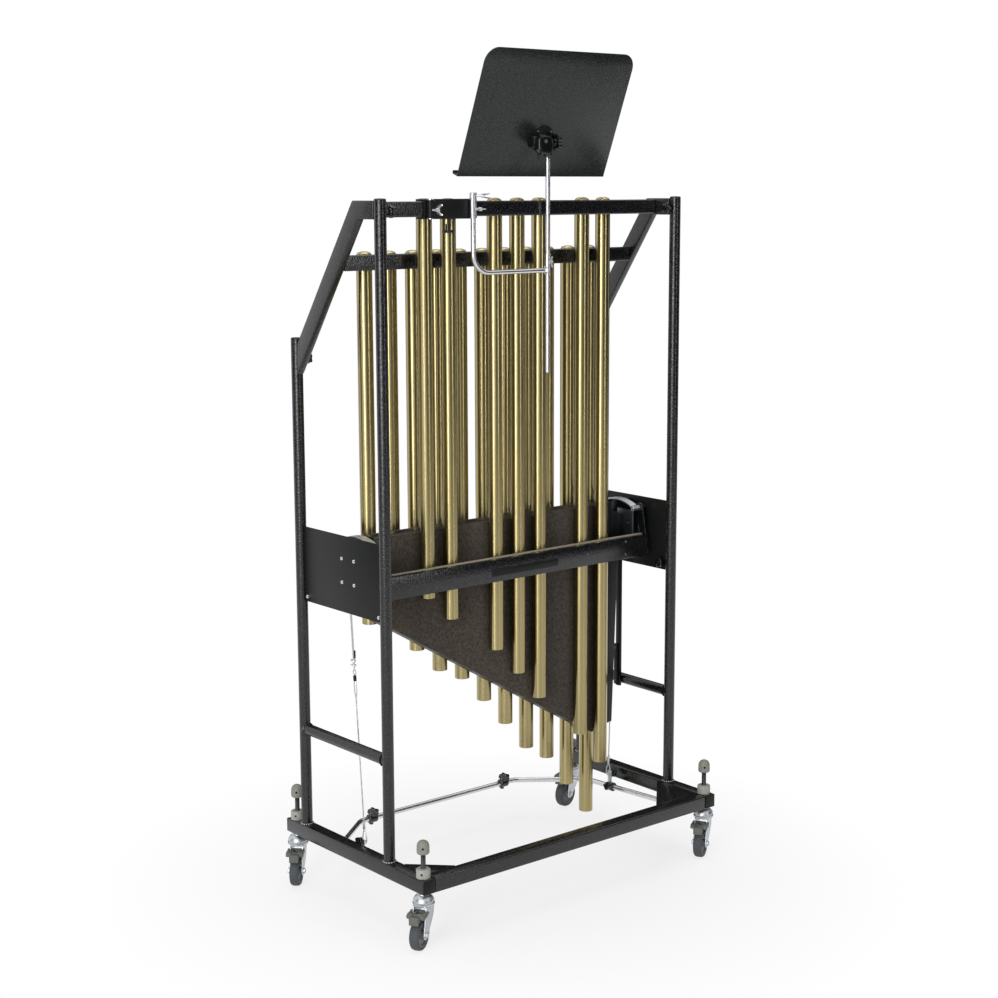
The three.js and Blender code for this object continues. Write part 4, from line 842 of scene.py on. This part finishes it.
def yoke(side):
    sign = SIDES[side]
    carrier, stop, hanging, strap, nuts, pins = meshes(6)
    outer = sign * PLATE_INNER
    block(carrier, (sign * (PLATE_INNER - BEARING), outer), BEARING_Y, BEARING_Z, 0.0015)
    block(carrier, (sign * YOKE_INNER, outer), WEB_Y, WEB_Z, 0.001)
    piece(f"bearing_block_{side}", carrier, BLACK, stands_for=[f"damper_yoke_{side}"])
    for near, far, radius, sides, soft in ((0, 0.016, 0.0122, 28, 0.0016),
                                           (0.0155, 0.019, 0.006, 6, 0.0005)):
        rod_along(stop, sign, (PLATE_INNER - near, PLATE_INNER - far), STOP_Y, STOP_Z, radius,
                  sides, soft)
    piece(f"bar_stop_{side}", stop, GLOSS)
    block(hanging, (sign * YOKE_INNER, sign * (YOKE_INNER + YOKE_PLATE)), HANGING_Y, HANGING_Z,
          0.001)
    made = piece(f"hanging_plate_{side}", hanging, DULL_ZINC)
    for z in HANGING_HOLES:
        bored(made, at(sign * (YOKE_INNER + YOKE_PLATE / 2), 0.268, z), ALONG, 0.0032, 0.02)
    plate_along(strap, sign * YOKE_INNER, arch_strap(), sign * STRAP_WIDTH, 0.0006, 1)
    piece(f"arch_strap_{side}", strap, ZINC)
    for y in JAW_Y.values():
        rod_along(nuts, sign, (YOKE_INNER - 0.0005, NUT_END), y, JAW_Z, 0.0078, 6, 0.0008)
        dome_screw(nuts, at(sign * NUT_END, y, JAW_Z), ALONG * sign, 0.0058)
        centre = at(sign * (YOKE_INNER - 0.0001), y, JAW_Z)
        for angle in (0.4, 0.4 + math.pi / 2):
            slot_bar = Vector((0, math.cos(angle), math.sin(angle))) * 0.0072
            rod(nuts, centre - slot_bar, centre + slot_bar, 0.0012, 10)
        rod_along(pins, sign, (0.436, 0.463), y, JAW_Z, 0.004, 24, 0.0006)
    piece(f"yoke_nuts_{side}", nuts, CHROME)
    rod_along(pins, sign, (PLATE_INNER - 0.023, PLATE_INNER - 0.006), PIVOT_Y, PIVOT_Z, 0.005, 24,
              0.0006)
    piece(f"yoke_pins_{side}", pins, STEEL)


ROCKER, ROCKER_SHEET, REST = 0.042, 0.005, math.radians(21.2)
TIP_Y, TIP_Z = PIVOT_Y + ROCKER * math.cos(REST), PIVOT_Z + ROCKER * math.sin(REST)
TIP_PIN_END = 0.432


def rocker(side):
    sign = SIDES[side]
    outer, quarter = PLATE_INNER - BEARING - 0.005, math.pi / 2
    mesh = bmesh.new()
    outline = (arc((PIVOT_Y, PIVOT_Z), 0.013, REST + quarter, REST + 3 * quarter, 12)
               + arc((TIP_Y, TIP_Z), 0.007, REST - quarter, REST + quarter, 12))
    plate_along(mesh, sign * outer, outline, -sign * ROCKER_SHEET, 0.0007, 1)
    rod_along(mesh, sign, (TIP_PIN_END, outer - 0.002), TIP_Y, TIP_Z, 0.0025, 18, 0.0005)
    rod_along(mesh, sign, (TIP_PIN_END, TIP_PIN_END + 0.0015), TIP_Y, TIP_Z, 0.004, 18, 0.0004)
    piece(f"rocker_arm_{side}", mesh, ZINC, "rockers", [f"rocker_{side}"])


# Pedal with its clamps and lugs
PEDAL, PEDAL_X = 0.007, 0.424
KNEE_Y, BAR_Y, BAR_X, PEDAL_LOW = 0.436, 0.565, 0.262, -0.058
FALL = (PEDAL_LOW - PEDAL_PIVOT_Z) / (KNEE_Y - PEDAL_PIVOT_Y)
LUG_Y, LUG_RISE, LUG = 0.335, 0.040, 0.004
LUG_ROD_Z = PEDAL_PIVOT_Z + FALL * (LUG_Y - PEDAL_PIVOT_Y)
LUG_PIN_Z = LUG_ROD_Z + LUG_RISE
HINGE_SLEEVE = [(0.0053, -0.012), (0.011, -0.012), (0.012, -0.011), (0.012, 0.011),
                (0.011, 0.012), (0.0053, 0.012)]
FOOT_CLAMP_X = 0.225
CABLE_TOP_X, CABLE_FOOT_X = 0.4415, 0.412


def pedal():
    corners = [(PEDAL_X, PEDAL_PIVOT_Y, PEDAL_PIVOT_Z), (PEDAL_X, KNEE_Y, PEDAL_LOW),
               (BAR_X, BAR_Y, PEDAL_LOW)]
    corners += [(-x, y, z) for x, y, z in reversed(corners)]
    mesh, clamps, lugs, hinges = meshes(4)
    swept(mesh, bend([at(*corner) for corner in corners], 0.045, 8), PEDAL, 24)
    piece("foot_bar", mesh, CHROME, "pedal", ["pedal"])
    for sign in (-1, 1):
        x, inner = sign * PEDAL_X, CABLE_FOOT_X + LUG
        ringed(clamps, HINGE_SLEEVE, at(x, PEDAL_PIVOT_Y, PEDAL_PIVOT_Z), ALONG, 32)
        rod(clamps, at(x, LUG_Y - 0.010, LUG_ROD_Z), at(x, LUG_Y + 0.010, LUG_ROD_Z), 0.012, 28,
            0.001)
        star_knob(clamps, at(sign * 0.4207, LUG_Y, LUG_PIN_Z), ALONG * sign, 0.016, 0.013)
        star_knob(clamps, at(sign * (PEDAL_X - 0.010), LUG_Y, LUG_ROD_Z + 0.002),
                  Vector((-sign * 0.8, -0.1, 0.35)).normalized(), 0.012, 0.012, 4)
        centre = at(sign * FOOT_CLAMP_X, BAR_Y, PEDAL_LOW)
        rod(clamps, centre - ALONG * 0.012, centre + ALONG * 0.012, 0.0118, 28, 0.001)
        star_knob(clamps, centre + Vector((0, -0.003, 0.009)), Vector((0, -0.35, 1)).normalized(),
                  0.0165, 0.015)
        rod(clamps, centre, centre + Vector((0, 0.006, -0.017)), 0.0062, 20, 0.001)
        block(lugs, (sign * inner, sign * (inner + LUG)), (LUG_Y - 0.007, LUG_Y + 0.007),
              (LUG_ROD_Z, LUG_PIN_Z + 0.007), 0.0012)
        rod_along(lugs, sign, (CABLE_FOOT_X - LUG, inner + 0.001), LUG_Y, LUG_PIN_Z, 0.0021, 18,
                  0.0004)
        outside, boss = RAIL_INNER + 0.001, PEDAL_X + 0.0123
        nut, end = PEDAL_X - 0.0123, PEDAL_X - 0.0163
        for x, radius, sides, soft in (((outside, boss), 0.008, 24, 0.0006),
                                       ((boss, end), 0.005, 20, 0.0),
                                       ((nut, end), 0.008, 6, 0.0004)):
            rod_along(hinges, sign, x, PEDAL_PIVOT_Y, PEDAL_PIVOT_Z, radius, sides, soft)
    piece("pedal_clamps", clamps, GLOSS, "pedal")
    piece("pedal_cable_lugs", lugs, ZINC, "pedal")
    piece("pedal_hinge_bolts", hinges, ZINC)


# Cables: an eye on the rocker, three strands laid together and a drop-shaped eye on the lug. On
# the left the upper part is doubled, as (reach, half of the gap), with a small ring between.
WIRE, EYE, PIN_GAP = 0.002, 0.011, 0.0031
LOOP_WIRE, LOOP_LONG, LOOP_WIDE = 0.0013, 0.037, 0.0112
STRAND, STRAND_OUT, LAY = 0.0010, 0.0009, 0.022
UPPER_PAIR = ((0.010, 0.010), (0.040, 0.0024), (0.236, 0.0024), (0.262, 0.0010))
LOWER_PAIR = ((0.286, 0.001), (0.298, 0.0046), (0.318, 0.0046), (0.334, 0))


def ring(mesh, centre, axis, radius, wire, steps, sides):
    ringed(mesh, arc((radius, 0), wire, 0, math.tau, sides)[:-1], centre, axis, steps)


def cable(side):
    sign, doubled = SIDES[side], side == "left"
    offset = EYE - PIN_GAP
    upper = at(sign * CABLE_TOP_X, TIP_Y, TIP_Z - offset)
    lower = at(sign * CABLE_FOOT_X, LUG_Y, LUG_PIN_Z + offset)
    down = (lower - upper).normalized()
    across = down.cross(ALONG).normalized()
    flat = across.cross(down).normalized()
    total = (lower - upper).length + EYE + WIRE

    def spot(reach, u=0.0, v=0.0):
        return upper + down * reach + flat * u + across * v

    mesh, clip = meshes(2)
    ring(mesh, upper, ALONG, EYE + WIRE, WIRE, 32, 12)
    drop, steps = [], 32
    for step in range(steps + 1):
        angle = math.tau * step / steps
        drop.append(spot(total - LOOP_LONG * (1 + math.cos(angle)) / 2, 0,
                         LOOP_WIDE * math.sin(angle) * abs(math.sin(angle / 2)) ** 1.3))
    swept(mesh, drop, LOOP_WIRE, 10)
    start, turns = 0.012, 180
    if doubled:
        start, turns = 0.330, 90
        for edge in (-1, 1):
            for route, radius in ((UPPER_PAIR, 0.05), (LOWER_PAIR, 0.008)):
                pair = [spot(reach, 0, edge * apart) for reach, apart in route]
                swept(mesh, bend(pair, radius, 4), LOOP_WIRE, 10)
        ring(mesh, spot(0.268), flat, 0.0055, LOOP_WIRE, 24, 10)
    finish = total - LOOP_LONG + 0.002
    for strand in range(3):
        route = []
        for turn in range(turns + 1):
            reach = (finish - start) * turn / turns
            angle = math.tau * (strand / 3 + reach / LAY)
            route.append(spot(start + reach, math.cos(angle) * STRAND_OUT,
                              math.sin(angle) * STRAND_OUT))
        swept(mesh, route, STRAND, 8)
    piece(f"steel_cable_{side}", mesh, ZINC, "cables", [f"pedal_cable_{side}"])
    for reach in (0.238, 0.250) if doubled else ():
        rod(clip, spot(reach, 0, -0.0065), spot(reach, 0, 0.0065), 0.0032, 16, 0.0006)
        for edge in (-0.0055, 0.0055):
            rod(clip, spot(reach, 0.002, edge), spot(reach, -0.0065, edge), 0.0022, 6, 0.0004)
    rod(clip, spot(finish - 0.020), spot(finish - 0.001), 0.0034, 20, 0.0006)
    piece(f"cable_clip_{side}", clip, CHROME, "cables")
    if doubled:
        sleeves = bmesh.new()
        rod(sleeves, spot(0.212, 0, 0.0062), spot(0.232, 0, 0.0048), 0.0024, 16, 0.0008)
        rod(sleeves, spot(0.276), spot(0.290), 0.0040, 20, 0.0008)
        piece(f"cable_sleeves_{side}", sleeves, BLACK, "cables")


# Music desk with its saddle, arm and mast
ARM_ROD, MAST_ROD, ROD_BORE = 0.006, 0.006, 0.0064
POST_X, MAST_X = -0.159, 0.076
SADDLE, SADDLE_WALL = (-0.300, -0.145), 0.005
SPARE_X = sum(SADDLE) - POST_X
SADDLE_BACK = BEAMS["upper"][0] - FIT
POST_Y = SADDLE_BACK - SADDLE_WALL - ARM_ROD - FIT
SOCKET = [(ROD_BORE, -0.0225), (0.0083, -0.0225), (0.009, -0.0218), (0.009, 0.0218),
          (0.0083, 0.0225), (ROD_BORE, 0.0225)]
POST_TOP, ARM_LOW = 1.572, 1.382
POST_COLLAR = [(0.0055, 1.5572), (0.0082, 1.5572), (0.0086, 1.5578), (0.0086, 1.5704),
               (0.0078, POST_TOP), (0.0055, POST_TOP)]
SLEEVE_Z, MAST_LOW, MAST_TOP = 1.3975, 1.129, 1.6595
MAST_SLEEVE = [(ROD_BORE, -0.0245), (0.0075, -0.0245), (0.008, -0.0238), (0.008, 0.0238),
               (0.0075, 0.0245), (ROD_BORE, 0.0245)]
HEAD_Z, LEAN = 1.692, math.radians(21.8)
HEAD_COLLAR = [(0.0063, 1.6585), (0.0105, 1.6585), (0.0112, 1.6595), (0.0112, 1.668),
               (0.0100, 1.670), (0.0063, 1.670)]
HEAD_FACE = [(-0.012, -0.0245), (0.012, -0.0245), (0.0235, -0.013), (0.0235, 0.010),
             (0.014, 0.0185), (-0.014, 0.0185), (-0.0235, 0.010), (-0.0235, -0.013)]
DESK_HALF, DESK_TALL, DESK_UP, DESK_SET, DESK_SHEET = 0.2375, 0.318, 0.0976, 0.022, 0.0025
DESK_CORNER = 0.038
LEDGE = [(0, 0), (0.0175, 0), (0.0203, 0.0012), (0.0215, 0.004), (0.0215, 0.008),
         (0.0190, 0.008), (0.0190, 0.0045), (0.0170, DESK_SHEET), (0, DESK_SHEET)]
DESK_LUG = [(0.0005, -0.014), (-0.020, -0.0098), (-0.028, -0.008), (-0.0318, 0), (-0.028, 0.008),
            (-0.020, 0.0098), (0.0005, 0.014)]
LUG_SHEET, LUG_STARTS = 0.005, (-0.0133, 0.0083)
BACKING, BACKING_RADIUS, RIVET_X, RIVET_Z = 0.0022, 0.034, 0.021, 0.019


def saddle():
    front, top = BEAMS["upper"]
    over, under = top + FIT, top - BEAM - FIT - SADDLE_WALL
    low, high = SADDLE_BACK - SADDLE_WALL, SADDLE_BACK
    middle = top - BEAM / 2
    mesh, rims, knob = meshes(3)
    block(mesh, SADDLE, (low, high), (under, over + SADDLE_WALL), 0.0012)
    for z in (over, under):
        block(mesh, SADDLE, (low + 0.001, front + BEAM_DEPTH + FIT), (z, z + SADDLE_WALL), 0.0012)
    piece("desk_saddle_shell", mesh, BLACK, stands_for=["desk_saddle"])
    for name, x, material in (("spare", SPARE_X, BLACK), ("post", POST_X, CHROME)):
        socket = bmesh.new()
        ringed(socket, SOCKET, at(x, POST_Y, middle), UP, 36)
        piece(f"saddle_socket_{name}", socket, material)
    for z in (-0.0228, 0.0212):
        rim = [(ROD_BORE, z), (0.0093, z), (0.0093, z + 0.0016), (ROD_BORE, z + 0.0016)]
        ringed(rims, rim, at(SPARE_X, POST_Y, middle), UP, 36)
    outward = Vector((0.35, -0.94, 0)).normalized()
    wing_screw(rims, at(SPARE_X, POST_Y - 0.008, middle - 0.002), outward, UP)
    wing_screw(rims, at(POST_X, POST_Y - 0.008, middle - 0.001), outward, outward.cross(UP),
               0.010, 0.012, 0.014)
    piece("saddle_wing_screws", rims, CHROME)
    centre = at(-0.215, front + BEAM_DEPTH / 2, under)
    grip = centre - UP * 0.030
    rod(knob, centre, centre - UP * 0.014, 0.003, 18)
    rod(knob, centre - UP * 0.012, grip, 0.006, 24, 0.001)
    rod(knob, grip - ALONG * 0.016, grip + ALONG * 0.016, 0.0034, 18, 0.001)
    piece("saddle_screw", knob, GLOSS)


def desk_arm():
    mesh, screw, collar = meshes(3)
    corners = [at(POST_X, POST_Y, POST_TOP), at(POST_X, POST_Y, ARM_LOW),
               at(MAST_X - 0.008, POST_Y, ARM_LOW)]
    swept(mesh, bend(corners, 0.046, 12), ARM_ROD, 28)
    weld(mesh, at(MAST_X - 0.0075, POST_Y, ARM_LOW), -ALONG, ARM_ROD, 0.004)
    ringed(mesh, POST_COLLAR, at(POST_X, POST_Y, 0), UP, 32)
    ringed(mesh, MAST_SLEEVE, at(MAST_X, POST_Y, SLEEVE_Z), UP, 36)
    piece("bent_arm", mesh, CHROME, "desk_arm", ["desk_arm"])
    outward = Vector((-0.45, -0.9, 0)).normalized()
    wing_screw(screw, at(MAST_X, POST_Y - 0.0075, 1.4035), outward, UP)
    piece("sleeve_wing_screw", screw, PALE, "desk_arm")
    outward = Vector((0.72, -0.69, 0)).normalized()
    across = (UP * 0.5 + outward.cross(UP)).normalized()
    wing_screw(collar, at(POST_X, POST_Y, 1.5642) + outward * 0.008, outward, across, 0.012,
               0.014, 0.020)
    piece("post_wing_screw", collar, CHROME, "desk_arm")


def mast_and_head():
    mast, head, stud = meshes(3)
    rod(mast, at(MAST_X, POST_Y, MAST_LOW), at(MAST_X, POST_Y, MAST_TOP), MAST_ROD, 32, 0.0012)
    piece("mast", mast, CHROME, "desk_mast", ["desk_mast"])
    ringed(head, HEAD_COLLAR, at(MAST_X, POST_Y, 0), UP, 36)
    block(head, (MAST_X - 0.008, MAST_X + 0.008), (POST_Y - 0.008, POST_Y + 0.008),
          (1.6605, HEAD_Z), 0.001)
    rod_along(head, 1, (MAST_X - 0.008, MAST_X + 0.008), POST_Y, HEAD_Z, 0.008, 28, 0.0006)
    rod_along(head, 1, (MAST_X - 0.030, MAST_X + 0.034), POST_Y, HEAD_Z, 0.003, 18)
    face_x, face_z = MAST_X - 0.031, HEAD_Z - 0.005
    face = [(face_x + x, face_z + z) for x, z in HEAD_FACE]
    plate_back(head, POST_Y - 0.0125, face, -0.016, 0.0016)
    block(head, (face_x, MAST_X + 0.006), (POST_Y - 0.0145, POST_Y - 0.006),
          (1.672, HEAD_Z - 0.004), 0.001)
    for lean in (-0.55, 0.55):
        foot = at(face_x + 0.020 * lean, POST_Y - 0.018, face_z - 0.022)
        rod(head, foot, foot + Vector((0.010 * lean, -0.004, -0.012)), 0.0036, 16, 0.001)
    star_knob(head, at(MAST_X + 0.0145, POST_Y, HEAD_Z), ALONG, 0.0215, 0.019)
    knurled_knob(head, at(MAST_X - 0.0140, POST_Y, HEAD_Z), -ALONG, 0.0208, 0.041, 22)
    piece("tilting_head", head, GLOSS, "desk_head", ["desk_head"])
    dome_screw(stud, at(face_x, POST_Y - 0.0285, face_z + 0.006), -BACK)
    dome_screw(stud, at(MAST_X + 0.0335, POST_Y, HEAD_Z), ALONG)
    piece("head_stud", stud, STEEL, "desk_head")


def music_desk():
    turn = Matrix.Translation(at(MAST_X, POST_Y, HEAD_Z)) @ Matrix.Rotation(LEAN, 4, "X")
    along, behind = turn.to_3x3() @ ALONG, turn.to_3x3() @ BACK

    def spot(x, y, z):
        return turn @ Vector((x, DESK_SET + y, z - DESK_UP))

    mesh, lugs, rivets = meshes(3)
    corner_x, corner_z = DESK_HALF - DESK_CORNER, DESK_TALL - DESK_CORNER
    outline = [(-DESK_HALF, 0), (DESK_HALF, 0),
               *arc((corner_x, corner_z), DESK_CORNER, 0, math.pi / 2, 10),
               *arc((-corner_x, corner_z), DESK_CORNER, math.pi / 2, math.pi, 10)]
    plate(mesh, [spot(x, 0, z) for x, z in outline], behind * DESK_SHEET, 0.0007)
    plate(mesh, [spot(-DESK_HALF, y, z) for y, z in LEDGE], along * (2 * DESK_HALF), 0.0003, 1)
    piece("desk_sheet", mesh, DESK_ENAMEL, "music_desk", ["music_desk"])
    for start in LUG_STARTS:
        lug = [spot(start, y, DESK_UP + z) for y, z in DESK_LUG]
        plate(lugs, lug, along * LUG_SHEET, 0.0008)
    disc = arc((0, DESK_UP), BACKING_RADIUS, 0, math.tau, 36)[:-1]
    plate(lugs, [spot(x, -BACKING, z) for x, z in disc], behind * BACKING, 0.0008)
    piece("desk_lugs", lugs, BLACK, "music_desk")
    for x in (-RIVET_X, RIVET_X):
        for z in (DESK_UP - RIVET_Z, DESK_UP + RIVET_Z):
            dome_screw(rivets, spot(x, -BACKING, z), -behind, 0.004)
    piece("desk_rivets", rivets, STEEL, "music_desk")


for side in SIDES:
    side_frame(side)
    side_plate(side)
    slope_arm(side)
    yoke(side)
    rocker(side)
    cable(side)
    for end, caster_y in CASTER_YS.items():
        caster(f"{end}_{side}", SIDES[side] * FRAME_X, caster_y)
        spindle(f"{end}_{side}", SIDES[side] * FRAME_X, caster_y)
base()
stay()
for row in BEAMS:
    beam(row)
damper_board()
for row in BAR_LOW:
    damper_bar(row)
pedal()
saddle()
desk_arm()
mast_and_head()
music_desk()


# Floor, light and background

def plainly_seen(owner, *others):
    """1 for rays from the camera and for the other kinds named."""
    path = node(owner, "ShaderNodeLightPath")
    seen = path.outputs["Is Camera Ray"]
    for other in others:
        either = node(owner, "ShaderNodeMath", operation="MAXIMUM")
        link(owner, seen, either.inputs[0])
        link(owner, path.outputs[other], either.inputs[1])
        seen = either.outputs["Value"]
    return seen


def blended(owner, share, under, over, output):
    mixed = node(owner, "ShaderNodeMixShader")
    for socket, source in enumerate((share, under, over)):
        link(owner, source, mixed.inputs[socket])
    link(owner, mixed.outputs["Shader"], owner.node_tree.nodes[output].inputs["Surface"])


def floor():
    """Pale floor that fades to plain white away from the object and its shadow."""
    mesh = bmesh.new()
    bmesh.ops.create_grid(mesh, x_segments=1, y_segments=1, size=40)
    made = mesh_object("floor", mesh)
    material = blank("pale_floor", (0.95, 0.95, 0.95), roughness=0.9, Specular_IOR_Level=0.1)
    place = node(material, "ShaderNodeTexCoord")
    reach = node(material, "ShaderNodeVectorMath", operation="LENGTH")
    link(material, place.outputs["Object"], reach.inputs[0])
    whiteness = ranged(material, reach.outputs["Value"], 0.74, 1.0, 0.40, 1.05)
    share = node(material, "ShaderNodeMath", operation="MULTIPLY")
    link(material, whiteness, share.inputs[0])
    link(material, plainly_seen(material, "Is Glossy Ray"), share.inputs[1])
    white = node(material, "ShaderNodeEmission", Strength=1.0)
    blended(material, share.outputs["Value"], shader_of(material).outputs["BSDF"],
            white.outputs["Emission"], "Material Output")
    made.data.materials.append(material)


CAMERA_SIDE = math.radians(227.8)
AIM = Vector((0, 0, 1.0))
CARD = blank("dark_card", (0.02, 0.02, 0.02), roughness=0.9)


def around(angle, reach, height):
    """A place beside the object; the angle runs from the camera's side to the picture's left."""
    turn = CAMERA_SIDE - math.radians(angle)
    return Vector((reach * math.cos(turn), reach * math.sin(turn), height))


def dark_card(name, start, end):
    """A tall curved card, out of the camera's sight, that the metal reflects."""
    reach, foot_z, tall, steps = 5.6, 0.02, 4.2, 8
    mesh = bmesh.new()
    foot = [mesh.verts.new(around(start + (end - start) * step / steps, reach, foot_z))
            for step in range(steps + 1)]
    head = [mesh.verts.new(vert.co + UP * tall) for vert in foot]
    for step in range(steps):
        mesh.faces.new((foot[step], foot[step + 1], head[step + 1], head[step]))
    made = mesh_object(name, mesh)
    made.data.materials.append(CARD)
    made.visible_camera = False


def lamp(name, place, size, power):
    data = bpy.data.lights.new(name, "AREA")
    data.shape, data.size, data.size_y, data.energy = "RECTANGLE", size[0], size[1], power
    made = in_scene(name, data)
    made.location = place
    made.rotation_mode = "QUATERNION"
    made.rotation_quaternion = (AIM - place).to_track_quat("-Z", "Y")


def world():
    made = bpy.data.worlds.new("studio")
    bpy.context.scene.world = made
    made.use_nodes = True
    soft = made.node_tree.nodes["Background"]
    soft.inputs["Color"].default_value = (1, 1, 1, 1)
    soft.inputs["Strength"].default_value = 0.55
    white = node(made, "ShaderNodeBackground", Color=(1, 1, 1, 1), Strength=1.0)
    blended(made, plainly_seen(made, "Is Glossy Ray", "Is Transmission Ray"),
            soft.outputs["Background"], white.outputs["Background"], "World Output")


floor()
dark_card("card_right", -115, -12)
dark_card("card_left", 56, 82)
dark_card("card_behind", 135, 235)
lamp("key_light", around(20, 4.6, 1.9), (1.3, 3.2), 92)
lamp("side_light", around(-55, 4.6, 2.0), (0.35, 3.0), 22)
lamp("top_light", Vector((0, 0, 4.6)), (3.0, 3.0), 45)
world()
bpy.context.scene.view_settings.view_transform = "Standard"
